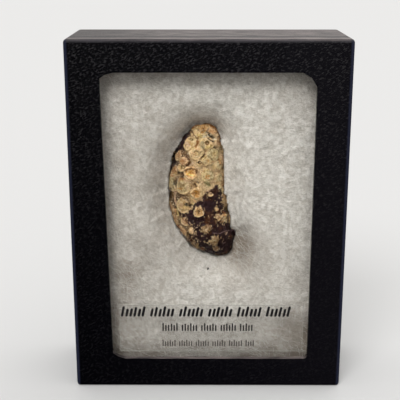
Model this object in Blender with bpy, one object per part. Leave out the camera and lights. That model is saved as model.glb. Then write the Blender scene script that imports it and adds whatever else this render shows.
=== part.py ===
"""Fossil pine cone on cotton batting in a flat display box.

X runs across the box, Z up it, and its clear front faces -Y. The box stands on its lower edge,
with the origin at the middle of that edge. The cone is one stone with about a hundred scales.
"""
import math

import bmesh
import bpy
import numpy as np

MM = 0.001

# Box
BOX_WIDTH = 82.55 * MM
BOX_HEIGHT = 107.95 * MM
BOX_DEPTH = 31.75 * MM
BOARD = 1.6 * MM
FIT_GAP = 0.3 * MM
EDGE_RADIUS = 1.0 * MM
TRAY_STANDS_PROUD = 0.475 * MM

# Window in the lid's front
WINDOW_TOP_BORDER = 9.4 * MM
WINDOW_BOTTOM_BORDER = 9.4 * MM
LEFT_BORDER_TOP = 9.9 * MM
LEFT_BORDER_BOTTOM = 11.6 * MM
RIGHT_BORDER_TOP = 10.2 * MM
RIGHT_BORDER_BOTTOM = 10.4 * MM
# Each corner of the window is cut off by this much across and up
CORNER_BOTTOM_LEFT = (4.0 * MM, 2.0 * MM)
CORNER_BOTTOM_RIGHT = (1.0 * MM, 1.0 * MM)
CORNER_TOP_RIGHT = (4.2 * MM, 4.2 * MM)
CORNER_TOP_LEFT = (4.0 * MM, 1.8 * MM)
GLASS = 2.0 * MM

# Label on the front of the glass
LABEL_WIDTH = 57.0 * MM
LABEL_HEIGHT = 15.6 * MM
LABEL_BOTTOM = 11.3 * MM
LABEL_OFF_CENTRE = 1.0 * MM
LABEL_THICK = 0.2 * MM

# Batting
BATTING_CELL = 2.6 * MM
BATTING_BELOW_GLASS = 1.1 * MM
BATTING_EDGE_FALL = 2.4 * MM
BATTING_EDGE_WIDTH = 7.0 * MM
MOAT_DEPTH = 5.2 * MM
MOAT_WIDTH = 5.4 * MM
POCKET_ROOM = 1.1 * MM

# Cone: its spine in the plane of the box as four control points (x, z), base first
SPINE = [(7.1 * MM, 41.2 * MM), (-5.0 * MM, 48.8 * MM), (-6.7 * MM, 66.3 * MM), (0.6 * MM, 80.6 * MM)]
# Half width from base (-1) to tip (+1): a polynomial in the place along the spine
HALF_WIDTH = (8.28 * MM, 0.0 * MM, 0.5 * MM, 1.3 * MM)
FLATNESS = 0.9

# Scales of the cone
SPIRAL_SCALES = 108
SPIRAL_RADIUS = 2.3 * MM
GOLDEN_ANGLE = math.pi * (3.0 - math.sqrt(5.0))
CROWDING = 0.72
GROOVE_DEPTH = 0.5 * MM
# kind: dome height, rim height, rim radius as a share of the scale's, pit depth
SCALE_KINDS = {
    "shield": (0.62 * MM, 0.12 * MM, 0.46, 0.34 * MM),
    "cup": (0.60 * MM, 0.40 * MM, 0.64, 0.90 * MM),
    "knob": (0.78 * MM, 0.05 * MM, 0.50, 0.38 * MM),
    "nick": (0.00 * MM, 0.00 * MM, 0.80, 0.75 * MM),
}
# Rings of points on one scale: share of its radius, points in the ring
SCALE_RINGS = [(0.28, 4), (0.62, 7), (0.84, 8), (1.08, 9)]
RING_POINT_SPACING = 0.55 * MM
# A ring's point is left out where a neighbouring scale is nearer than this share of its own
STAY_IN_SCALE = 0.97
# Even points that fill what the rings leave open
FILL_POINTS = 6500
FILL_SPACING = 0.7 * MM
# The broken base has a thicker lip on its right side: (x, z) seen from the front, radius, height
BASE_LIP = (7.6, 46.6, 2.6, 0.75)

# Scales seen through the glass, in mm: (x, z) on the plane of the cone's middle as the eye sees
# them from a little above, radius, kind
SEEN_FROM_ABOVE = math.radians(15.0)
SEEN_SCALES = [
    # tip
    (-3.7, 79.8, 1.5, "shield"), (-1.5, 79.9, 1.4, "shield"), (1.2, 79.8, 1.6, "shield"),
    (-3.9, 77.8, 1.4, "shield"), (-1.7, 77.9, 1.2, "knob"), (0.6, 77.2, 1.0, "nick"),
    (3.1, 77.9, 1.4, "shield"),
    # upper third
    (-5.6, 74.7, 2.1, "shield"), (-4.7, 76.5, 0.6, "nick"), (-0.4, 75.0, 2.1, "shield"),
    (2.8, 75.4, 1.4, "shield"), (1.9, 73.6, 0.7, "nick"), (-3.7, 71.9, 2.2, "shield"),
    (1.3, 71.5, 2.1, "shield"), (-8.8, 71.4, 1.4, "shield"), (-7.2, 69.4, 1.4, "knob"),
    (-2.7, 69.1, 0.9, "cup"), (-0.5, 69.7, 1.6, "shield"), (-8.1, 67.5, 1.2, "shield"),
    (3.0, 68.5, 1.7, "shield"),
    # middle
    (-5.1, 65.8, 1.8, "cup"), (-0.4, 65.0, 2.1, "shield"), (-10.1, 66.2, 1.6, "shield"),
    (-7.7, 61.8, 2.3, "shield"), (-3.2, 63.0, 0.6, "nick"), (3.0, 64.5, 1.6, "shield"),
    (-11.1, 59.6, 1.3, "nick"), (-3.6, 59.6, 1.8, "cup"), (0.3, 59.3, 0.9, "knob"),
    (4.9, 58.9, 1.2, "shield"), (1.9, 57.8, 1.0, "shield"), (5.3, 56.0, 1.0, "shield"),
    # lower third
    (-7.6, 56.2, 2.2, "shield"), (-6.3, 56.2, 0.7, "nick"), (-1.1, 55.3, 1.0, "shield"),
    (-10.9, 55.3, 1.3, "shield"), (-2.9, 53.9, 1.6, "cup"), (2.0, 54.6, 0.9, "knob"),
    (3.3, 51.8, 1.8, "cup"), (0.4, 51.9, 1.0, "shield"), (-9.7, 51.4, 1.4, "shield"),
    (-7.0, 51.0, 1.4, "shield"), (-4.6, 51.3, 1.0, "shield"), (6.1, 49.4, 1.2, "shield"),
    (-0.8, 48.7, 1.7, "shield"),
    # base
    (4.3, 47.8, 1.3, "shield"), (-7.6, 47.8, 1.5, "shield"), (-4.8, 48.0, 1.0, "knob"),
    (6.5, 45.0, 1.3, "shield"), (1.7, 44.7, 1.5, "knob"), (-5.6, 45.0, 1.2, "knob"),
    (-3.8, 43.4, 1.5, "shield"), (2.3, 41.9, 0.8, "knob"), (4.4, 41.5, 1.3, "shield"),
    (0.2, 40.9, 1.2, "shield"),
]


def clear_scene():
    for old in list(bpy.data.objects):
        bpy.data.objects.remove(old, do_unlink=True)


def material(name, colour, roughness, metallic=0.0, alpha=1.0):
    mat = bpy.data.materials.new(name)
    mat.use_nodes = True
    shader = mat.node_tree.nodes["Principled BSDF"]
    shader.inputs["Base Color"].default_value = (*colour, 1.0)
    shader.inputs["Roughness"].default_value = roughness
    shader.inputs["Metallic"].default_value = metallic
    shader.inputs["Alpha"].default_value = alpha
    return mat


def add_object(name, bm, mat=None):
    bmesh.ops.recalc_face_normals(bm, faces=bm.faces)
    mesh = bpy.data.meshes.new(name)
    bm.to_mesh(mesh)
    bm.free()
    obj = bpy.data.objects.new(name, mesh)
    bpy.context.scene.collection.objects.link(obj)
    if mat:
        mesh.materials.append(mat)
    return obj


def box_mesh(low, high, radius=0.0, keep_square=None):
    """Box between two corners; edges are rounded except those lying on the keep_square plane."""
    bm = bmesh.new()
    bmesh.ops.create_cube(bm, size=1.0)
    for vert in bm.verts:
        vert.co = [low[i] + (vert.co[i] + 0.5) * (high[i] - low[i]) for i in range(3)]
    if radius:
        edges = [e for e in bm.edges if not (keep_square is not None and
                 all(abs(v.co.y - keep_square) < 1e-7 for v in e.verts))]
        bmesh.ops.bevel(bm, geom=edges, offset=radius, segments=3, profile=0.5, affect="EDGES")
    return bm


def cut(obj, cutter):
    """Take one guide solid away from an object."""
    cutter.hide_render = True
    cutter.display_type = "WIRE"
    modifier = obj.modifiers.new("cut_" + cutter.name, "BOOLEAN")
    modifier.operation = "DIFFERENCE"
    modifier.object = cutter


def prism(name, outline, y_low, y_high):
    """Guide solid with an outline of (x, z) points, running along Y."""
    bm = bmesh.new()
    face = bm.faces.new([bm.verts.new((x, y_low, z)) for x, z in outline])
    moved = bmesh.ops.extrude_face_region(bm, geom=[face])["geom"]
    for vert in [g for g in moved if isinstance(g, bmesh.types.BMVert)]:
        vert.co.y = y_high
    return add_object(name, bm)


# Depths that the pieces share
FRONT = -BOX_DEPTH / 2
BACK = BOX_DEPTH / 2
BOARD_BACK = FRONT + BOARD
GLASS_FRONT = BOARD_BACK + FIT_GAP
GLASS_BACK = GLASS_FRONT + GLASS
TRAY_FRONT = GLASS_BACK + FIT_GAP
LID_RIM = BACK - TRAY_STANDS_PROUD
TRAY_HALF = BOX_WIDTH / 2 - BOARD - FIT_GAP
TRAY_LOW = BOARD + FIT_GAP
TRAY_HIGH = BOX_HEIGHT - BOARD - FIT_GAP
BATTING_HALF = TRAY_HALF - BOARD - FIT_GAP
BATTING_LOW = TRAY_LOW + BOARD + FIT_GAP
BATTING_HIGH = TRAY_HIGH - BOARD - FIT_GAP
BATTING_BACK = BACK - BOARD - FIT_GAP


def window_outline():
    """Corners of the window, anticlockwise from the bottom left, each one blunted."""
    half = BOX_WIDTH / 2
    low = WINDOW_BOTTOM_BORDER
    high = BOX_HEIGHT - WINDOW_TOP_BORDER
    corners = [
        (-half + LEFT_BORDER_BOTTOM, low, 1, 1, CORNER_BOTTOM_LEFT, False),
        (half - RIGHT_BORDER_BOTTOM, low, -1, 1, CORNER_BOTTOM_RIGHT, True),
        (half - RIGHT_BORDER_TOP, high, -1, -1, CORNER_TOP_RIGHT, False),
        (-half + LEFT_BORDER_TOP, high, 1, -1, CORNER_TOP_LEFT, True),
    ]
    outline = []
    for x, z, to_x, to_z, (across, up), across_first in corners:
        on_side = (x, z + to_z * up)
        on_end = (x + to_x * across, z)
        middle = (x + to_x * across * 0.38, z + to_z * up * 0.38)
        outline += [on_end, middle, on_side] if across_first else [on_side, middle, on_end]
    return outline


def make_lid(mat):
    low = (-BOX_WIDTH / 2, FRONT, 0.0)
    high = (BOX_WIDTH / 2, LID_RIM, BOX_HEIGHT)
    lid = add_object("lid", box_mesh(low, high, EDGE_RADIUS, keep_square=LID_RIM), mat)
    inside_low = (-BOX_WIDTH / 2 + BOARD, BOARD_BACK, BOARD)
    inside_high = (BOX_WIDTH / 2 - BOARD, BACK + BOARD, BOX_HEIGHT - BOARD)
    cut(lid, add_object("lid_inside", box_mesh(inside_low, inside_high)))
    cut(lid, prism("window_hole", window_outline(), FRONT - BOARD, BOARD_BACK + BOARD))
    return lid


def make_tray(mat):
    low = (-TRAY_HALF, TRAY_FRONT, TRAY_LOW)
    high = (TRAY_HALF, BACK, TRAY_HIGH)
    tray = add_object("tray", box_mesh(low, high, EDGE_RADIUS / 2, keep_square=TRAY_FRONT), mat)
    inside_low = (-TRAY_HALF + BOARD, TRAY_FRONT - BOARD, TRAY_LOW + BOARD)
    inside_high = (TRAY_HALF - BOARD, BACK - BOARD, TRAY_HIGH - BOARD)
    cut(tray, add_object("tray_inside", box_mesh(inside_low, inside_high)))
    return tray


def make_window_pane(mat):
    low = (-TRAY_HALF, GLASS_FRONT, TRAY_LOW)
    high = (TRAY_HALF, GLASS_BACK, TRAY_HIGH)
    return add_object("window_pane", box_mesh(low, high), mat)


def make_label(mat):
    low = (LABEL_OFF_CENTRE - LABEL_WIDTH / 2, GLASS_FRONT - FIT_GAP - LABEL_THICK, LABEL_BOTTOM)
    high = (LABEL_OFF_CENTRE + LABEL_WIDTH / 2, GLASS_FRONT - FIT_GAP, LABEL_BOTTOM + LABEL_HEIGHT)
    return add_object("label", box_mesh(low, high), mat)


def spine_point(t):
    """Place and direction of the cone's spine, t from 0 at the base to 1 at the tip."""
    p0, p1, p2, p3 = [np.array(p) for p in SPINE]
    t = np.asarray(t, float)[..., None]
    place = (1 - t) ** 3 * p0 + 3 * (1 - t) ** 2 * t * p1 + 3 * (1 - t) * t ** 2 * p2 + t ** 3 * p3
    ahead = (1 - t) ** 2 * (p1 - p0) + 2 * (1 - t) * t * (p2 - p1) + t ** 2 * (p3 - p2)
    return place, ahead / np.linalg.norm(ahead, axis=-1, keepdims=True)


def half_width(slant):
    """Half width of the smooth body at a slant angle, -90 degrees at the base, +90 at the tip."""
    u = np.sin(slant)
    return np.cos(slant) * sum(c * u ** n for n, c in enumerate(HALF_WIDTH))


def body_point(slant, turn, y_centre=0.0):
    """Point of the smooth bent body; turn 0 faces the glass and +90 degrees is to the right."""
    place, ahead = spine_point((np.sin(slant) + 1) / 2)
    width = half_width(slant)
    side = width * np.sin(turn)
    x = place[..., 0] + ahead[..., 1] * side
    z = place[..., 1] - ahead[..., 0] * side
    y = y_centre - FLATNESS * width * np.cos(turn)
    return np.stack([x, y, z], axis=-1)


def body_normal(slant, turn):
    """Outward direction of the smooth body."""
    step = 1e-3
    slant = np.clip(slant, -math.pi / 2 + 4 * step, math.pi / 2 - 4 * step)
    along = body_point(slant + step, turn) - body_point(slant - step, turn)
    around = body_point(slant, turn + step) - body_point(slant, turn - step)
    normal = np.cross(around, along)
    return normal / np.linalg.norm(normal, axis=-1, keepdims=True)


class RoundMap:
    """Even map between the long body and a unit sphere, on which circles stay circles.

    A ring of points on the sphere is then a round ring on the cone, whatever the cone's width.
    """

    def __init__(self):
        self.slant = np.linspace(-math.pi / 2 + 1e-3, math.pi / 2 - 1e-3, 2001)
        mean = (1 + FLATNESS) / 2
        radius = mean * half_width(self.slant)
        place, _ = spine_point((np.sin(self.slant) + 1) / 2)
        run = np.hypot(*np.gradient(place, self.slant, axis=0).T)
        slope = np.hypot(run, np.gradient(radius, self.slant)) / radius
        extra = slope - 1 / np.cos(self.slant)
        step = self.slant[1] - self.slant[0]
        gained = np.concatenate([[0], np.cumsum((extra[1:] + extra[:-1]) / 2 * step)])
        rise = np.arctanh(np.sin(self.slant)) + gained - gained[len(gained) // 2]
        self.height = np.tanh(rise)
        self.size = radius * np.cosh(rise)
        band = 2 * math.pi * radius * np.hypot(run, np.gradient(radius, self.slant))
        self.area = np.concatenate([[0], np.cumsum((band[1:] + band[:-1]) / 2 * step)])

    def direction(self, slant, turn):
        h = np.interp(slant, self.slant, self.height)
        flat = np.sqrt(1 - h * h)
        return np.stack([flat * np.sin(turn), -flat * np.cos(turn), h], axis=-1)

    def size_at(self, slant):
        """Size on the cone of one radian on the sphere, in metres."""
        return np.interp(slant, self.slant, self.size)

    def angles(self, direction):
        direction = np.asarray(direction)
        slant = np.interp(direction[..., 2], self.height, self.slant)
        return slant, np.arctan2(direction[..., 0], -direction[..., 1])

    def slant_at_share(self, share):
        """Slant below which the given share of the cone's surface lies."""
        return float(np.interp(share * self.area[-1], self.area, self.slant))


def seen_place(x, z):
    """Slant and turn of the point of the cone's front that is seen at (x, z)."""
    slant, turn = np.meshgrid(np.radians(np.arange(-86, 87, 0.5)), np.radians(np.arange(-88, 89, 0.5)))
    points = body_point(slant, turn)
    seen_z = points[..., 2] + points[..., 1] * math.tan(SEEN_FROM_ABOVE)
    miss = np.hypot(points[..., 0] - x, seen_z - z)
    best = np.unravel_index(np.argmin(miss), miss.shape)
    return float(slant[best]), float(turn[best])


def make_scales(round_map):
    """All scales: those seen in front first, then a spiral that fills the rest of the cone."""
    scales = []

    def add(slant, turn, radius, kind):
        reach = radius / round_map.size_at(slant)
        scales.append({"radius": radius, "kind": kind, "reach": reach,
                       "direction": round_map.direction(slant, turn)})

    for x, z, radius, kind in SEEN_SCALES:
        add(*seen_place(x * MM, z * MM), radius * MM, kind)
    seen = list(scales)
    for i in range(SPIRAL_SCALES):
        slant = round_map.slant_at_share((i + 0.5) / SPIRAL_SCALES)
        turn = i * GOLDEN_ANGLE
        direction = round_map.direction(slant, turn)
        reach = SPIRAL_RADIUS / round_map.size_at(slant)
        if all(angle_between(direction, s["direction"]) > CROWDING * (reach + s["reach"]) for s in seen):
            add(slant, turn, SPIRAL_RADIUS, "shield")
    return scales


def angle_between(directions, centre):
    return np.arccos(np.clip(directions @ centre, -1, 1))


def relief(directions, scales, round_map):
    """Height of the scales over the smooth body at the given directions, in metres."""
    height = np.full(len(directions), -GROOVE_DEPTH)
    for scale in scales:
        dome, rim, rim_at, pit = SCALE_KINDS[scale["kind"]]
        gap = angle_between(directions, scale["direction"]) / scale["reach"]
        if scale["kind"] == "nick":
            height = np.where(gap < 1, np.minimum(height, -pit * (1 - gap ** 2)), height)
            continue
        level = np.clip(1 - gap ** 2 / 1.2, 0, 1) ** 0.6
        own = ((GROOVE_DEPTH + dome) * level - GROOVE_DEPTH
               + rim * np.exp(-((gap - rim_at) / 0.14) ** 2)
               - pit * np.exp(-(gap / (0.62 * rim_at)) ** 2))
        height = np.where(gap < 1.09, np.maximum(height, own), height)
    x, z, radius, rise = (value * MM for value in BASE_LIP)
    slant, turn = seen_place(x, z)
    gap = angle_between(directions, round_map.direction(slant, turn)) * round_map.size_at(slant) / radius
    return height + rise * np.exp(-gap ** 4)


def ring_points(scale):
    """Directions of the points that carry one scale's pit, rim, shoulder and foot."""
    centre = scale["direction"]
    east = np.cross((0.0, 0.0, 1.0), centre)
    east /= np.linalg.norm(east)
    north = np.cross(centre, east)
    points = [centre]
    for n, (share, count) in enumerate(SCALE_RINGS):
        angle = share * scale["reach"]
        for i in range(count):
            a = 2 * math.pi * (i + 0.5 * (n % 2)) / count
            sideways = math.cos(a) * east + math.sin(a) * north
            points.append(math.cos(angle) * centre + math.sin(angle) * sideways)
    return points


def spread_points(scales, round_map):
    """Points of all scales, then even points where those leave room."""
    kept = []

    def keep(point, spacing):
        slant, _ = round_map.angles(point)
        close = spacing / round_map.size_at(slant)
        if not kept or np.min(np.linalg.norm(np.array(kept) - point, axis=1)) > close:
            kept.append(point)

    for scale in scales:
        others = [s for s in scales if s is not scale]
        for n, point in enumerate(ring_points(scale)):
            own = angle_between(point, scale["direction"]) / scale["reach"]
            from_others = [angle_between(point, s["direction"]) / s["reach"] for s in others]
            if n == 0 or min(from_others) > STAY_IN_SCALE * own:
                keep(point, RING_POINT_SPACING)
    for i in range(FILL_POINTS):
        slant = round_map.slant_at_share((i + 0.5) / FILL_POINTS)
        keep(round_map.direction(slant, i * GOLDEN_ANGLE), FILL_SPACING)
    return np.array(kept)


def make_cone(mat):
    round_map = RoundMap()
    scales = make_scales(round_map)
    directions = spread_points(scales, round_map)
    slant, turn = round_map.angles(directions)
    lift = relief(directions, scales, round_map)[:, None] * body_normal(slant, turn)
    points = body_point(slant, turn) + lift
    y_centre = TRAY_FRONT - float(points[:, 1].min())
    bm = bmesh.new()
    verts = [bm.verts.new(d) for d in directions]
    bmesh.ops.convex_hull(bm, input=verts, use_existing_faces=False)
    for vert, point in zip(verts, points):
        vert.co = (point[0], point[1] + y_centre, point[2])
    add_object("cone", bm, mat)
    return y_centre


def batting_front(x, z, cone_back):
    """Depth of the batting's front at (x, z): a pillow with a moat and a pocket for the cone."""
    inset = min(BATTING_HALF - abs(x), z - BATTING_LOW, BATTING_HIGH - z)
    edge = BATTING_EDGE_FALL * math.exp(-(inset / BATTING_EDGE_WIDTH) ** 2)
    pillow = GLASS_BACK + BATTING_BELOW_GLASS + edge
    gap = np.hypot(cone_back[:, 0] - x, cone_back[:, 2] - z)
    moat = pillow + MOAT_DEPTH * math.exp(-(float(gap.min()) / MOAT_WIDTH) ** 2)
    near = gap < 1.5 * BATTING_CELL
    if not near.any():
        return moat
    return max(moat, float(cone_back[near, 1].max()) + POCKET_ROOM)


def make_batting(mat, y_centre):
    slant, turn = np.meshgrid(np.radians(np.arange(-90, 91, 3)), np.radians(np.arange(90, 271, 5)))
    cone_back = body_point(slant, turn, y_centre).reshape(-1, 3)
    columns = round(2 * BATTING_HALF / BATTING_CELL)
    rows = round((BATTING_HIGH - BATTING_LOW) / BATTING_CELL)
    bm = bmesh.new()
    grid = []
    for j in range(rows + 1):
        z = BATTING_LOW + (BATTING_HIGH - BATTING_LOW) * j / rows
        row = []
        for i in range(columns + 1):
            x = -BATTING_HALF + 2 * BATTING_HALF * i / columns
            row.append(bm.verts.new((x, batting_front(x, z, cone_back), z)))
        grid.append(row)
    for j in range(rows):
        for i in range(columns):
            corners = [grid[j][i], grid[j][i + 1], grid[j + 1][i + 1], grid[j + 1][i]]
            face = bm.faces.new(corners)
            face.smooth = True
    border = (grid[0] + [row[-1] for row in grid[1:]] + grid[-1][-2::-1]
              + [row[0] for row in grid[-2:0:-1]])
    behind = [bm.verts.new((v.co.x, BATTING_BACK, v.co.z)) for v in border]
    for n in range(len(border)):
        after = (n + 1) % len(border)
        bm.faces.new([border[n], border[after], behind[after], behind[n]])
    bm.faces.new(behind)
    return add_object("batting", bm, mat)


def main():
    clear_scene()
    leatherette = material("black_leatherette", (0.012, 0.012, 0.014), 0.5)
    inner_paper = material("tray_paper", (0.02, 0.02, 0.022), 0.7)
    glass = material("clear_glass", (0.9, 0.95, 0.93), 0.03, alpha=0.2)
    film = material("clear_film", (0.55, 0.54, 0.5), 0.3, alpha=0.4)
    cotton = material("white_batting", (0.62, 0.6, 0.57), 0.95)
    fossil = material("fossil_stone", (0.42, 0.32, 0.2), 0.6)
    make_lid(leatherette)
    make_tray(inner_paper)
    make_window_pane(glass)
    make_label(film)
    y_centre = make_cone(fossil)
    make_batting(cotton, y_centre)


main()
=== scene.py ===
import math

import bmesh
import bpy
import numpy as np
from mathutils import Matrix, Vector


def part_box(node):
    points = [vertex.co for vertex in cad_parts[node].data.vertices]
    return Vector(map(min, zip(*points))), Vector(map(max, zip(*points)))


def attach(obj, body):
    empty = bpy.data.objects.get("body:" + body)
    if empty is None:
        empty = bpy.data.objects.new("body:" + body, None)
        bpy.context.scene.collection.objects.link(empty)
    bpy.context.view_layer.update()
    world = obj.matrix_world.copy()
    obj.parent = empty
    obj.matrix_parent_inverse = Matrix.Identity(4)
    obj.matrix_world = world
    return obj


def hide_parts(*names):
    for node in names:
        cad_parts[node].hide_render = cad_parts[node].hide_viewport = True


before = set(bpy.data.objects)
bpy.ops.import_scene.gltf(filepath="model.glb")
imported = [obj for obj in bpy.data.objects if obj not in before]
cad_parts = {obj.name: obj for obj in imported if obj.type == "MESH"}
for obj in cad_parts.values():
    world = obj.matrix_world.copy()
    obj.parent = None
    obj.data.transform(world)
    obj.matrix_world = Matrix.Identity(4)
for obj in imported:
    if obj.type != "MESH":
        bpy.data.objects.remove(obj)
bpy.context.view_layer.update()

MM = 0.001

# Camera, fitted to the box's edges in the 400 pixel photograph
IMAGE_SIZE = 400
FOCAL_PIXELS = 874.7
SENSOR = 36.0
CAMERA_PLACE = (-1.71 * MM, -264.75 * MM, 132.29 * MM)
CAMERA_DOWN = math.radians(15.997)
CAMERA_LEFT = math.radians(0.185)

# Box, as the frame has it
LID_LOW, LID_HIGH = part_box("lid")
PANE_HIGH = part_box("window_pane")[1]
LABEL_LOW, LABEL_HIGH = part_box("label")
BATTING_LOW, BATTING_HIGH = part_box("batting")
CONE_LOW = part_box("cone")[0]

# Cone: spine in the plane of the box as four control points (x, z), base first, as in the model
SPINE = [(7.1 * MM, 41.2 * MM), (-5.0 * MM, 48.8 * MM), (-6.7 * MM, 66.3 * MM), (0.6 * MM, 80.6 * MM)]
# Half width as a polynomial in the sine of the slant
HALF_WIDTH = (8.28 * MM, 0.0 * MM, 0.5 * MM, 1.3 * MM)
FLATNESS = 0.9
# Rows from base to tip and points round the cone, closer together on the side that is seen
CONE_ROWS = 352
CONE_COLUMNS = 264
FINER_IN_FRONT = 0.35

# Scales of the cone, as in the model
SPIRAL_SCALES = 108
SPIRAL_RADIUS = 2.3 * MM
SPIRAL_TONES = ("cream", "peach", "green", "tan", "cream", "amber", "tan")
GOLDEN_ANGLE = math.pi * (3.0 - math.sqrt(5.0))
CROWDING = 0.72
GROOVE_DEPTH = 0.5 * MM
BODY_LIFT = 0.3 * MM
# kind: dome height, rim height, rim radius as a share of the scale's, pit depth
SCALE_KINDS = {
    "shield": (0.62 * MM, 0.12 * MM, 0.46, 0.34 * MM),
    "cup": (0.60 * MM, 0.40 * MM, 0.78, 0.80 * MM),
    "knob": (0.78 * MM, 0.05 * MM, 0.50, 0.38 * MM),
    "nick": (0.00 * MM, 0.00 * MM, 0.80, 0.75 * MM),
}
# Lip at the right of the base: x, z, radius and height in mm
BASE_LIP = (7.4, 46.7, 2.5, 0.55)

# Scales seen through the glass, by kind and tone: x and z in mm on the plane of the cone's middle,
# as the eye sees them from a little above, and radius in mm
SEEN_FROM_ABOVE = math.radians(15.0)
TO_EYE = np.array([0.0, -math.cos(SEEN_FROM_ABOVE), math.sin(SEEN_FROM_ABOVE)])
SEEN_SCALES = {
    ("shield", "amber"): [(-3.7, 79.8, 1.5), (-1.5, 79.9, 1.4), (1.2, 79.8, 1.6)],
    ("shield", "cream"): [(-3.9, 77.8, 1.4), (-5.6, 74.7, 2.1), (-0.4, 75.0, 2.1), (-3.7, 71.9, 2.2),
        (-0.5, 69.7, 1.6), (-8.1, 67.5, 1.2)],
    ("knob", "cream"): [(-1.7, 77.9, 1.2), (0.3, 59.3, 0.9), (2.0, 54.6, 0.9), (-4.8, 48.0, 1.0)],
    ("nick", "dark"): [(0.6, 77.2, 1.0), (-4.7, 76.5, 0.6), (1.9, 73.6, 0.7), (-3.2, 63.0, 0.6),
        (-11.1, 59.6, 1.3), (-6.3, 56.2, 0.7)],
    ("shield", "peach"): [(3.1, 77.9, 1.4), (-8.8, 71.4, 1.4), (-10.1, 66.2, 1.6), (4.9, 58.9, 1.2),
        (5.3, 56.0, 1.0), (-10.9, 55.3, 1.3), (-9.7, 51.4, 1.4), (-7.0, 51.0, 1.4), (-7.6, 47.8, 1.5)],
    ("shield", "tan"): [(2.8, 75.4, 1.4), (-0.8, 48.7, 1.7), (-3.8, 43.4, 1.5)],
    ("shield", "green"): [(1.3, 71.5, 2.1), (3.0, 68.5, 1.7), (-0.4, 65.0, 2.1), (3.0, 64.5, 1.6)],
    ("knob", "peach"): [(-7.2, 69.4, 1.4)],
    ("cup", "cream"): [(-2.7, 69.1, 0.9), (-2.9, 53.9, 1.6)],
    ("cup", "orange"): [(-5.3, 65.7, 1.9)],
    ("shield", "moss"): [(-7.5, 61.7, 2.3)],
    ("cup", "ring"): [(-3.6, 59.6, 1.8)],
    ("shield", "dark"): [(1.9, 57.8, 1.0), (-1.1, 55.3, 1.0), (0.4, 51.9, 1.0), (-4.6, 51.3, 1.0),
        (6.1, 49.4, 1.2), (4.3, 47.8, 1.3), (6.5, 45.0, 1.3), (4.4, 41.5, 1.3), (0.2, 40.9, 1.2)],
    ("shield", "dim"): [(-7.6, 55.9, 2.2)],
    ("knob", "tan"): [(3.0, 52.0, 1.6), (1.6, 44.7, 1.6), (2.4, 42.4, 1.0)],
    ("knob", "dark"): [(-5.6, 45.0, 1.2)],
}

# Bare dark matrix in front, as outlines in mm on the same plane: lower right, and upper left edge
DARK_LOWER = [
    (-1.5, 59.3), (-0.4, 60.4), (1.1, 61.1), (2.3, 62.6), (2.7, 61.6), (3.4, 60.6), (3.7, 59.0),
    (4.5, 57.0), (4.8, 54.3), (5.3, 52.1), (5.9, 50.5), (6.6, 48.9), (9.5, 48.3),
    (10.0, 44.0), (8.0, 38.0), (0.0, 36.5), (-2.0, 41.0), (-5.8, 44.7), (-6.0, 46.8),
    (-5.4, 48.4), (-6.3, 50.6), (-8.7, 53.0),
    (-6.8, 53.4), (-5.0, 55.0), (-4.0, 56.3), (-2.5, 57.6),
]
DARK_LEFT = [
    (-4.6, 81.0), (-5.1, 80.0), (-5.5, 78.2), (-6.0, 77.0), (-7.0, 75.2), (-7.6, 73.3),
    (-8.8, 72.8), (-9.7, 72.0), (-10.1, 70.0), (-9.6, 69.2), (-10.4, 67.7), (-11.2, 66.6),
    (-11.6, 64.0), (-12.1, 60.2), (-14.5, 60.0), (-15.0, 70.0), (-9.0, 82.0),
]

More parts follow.
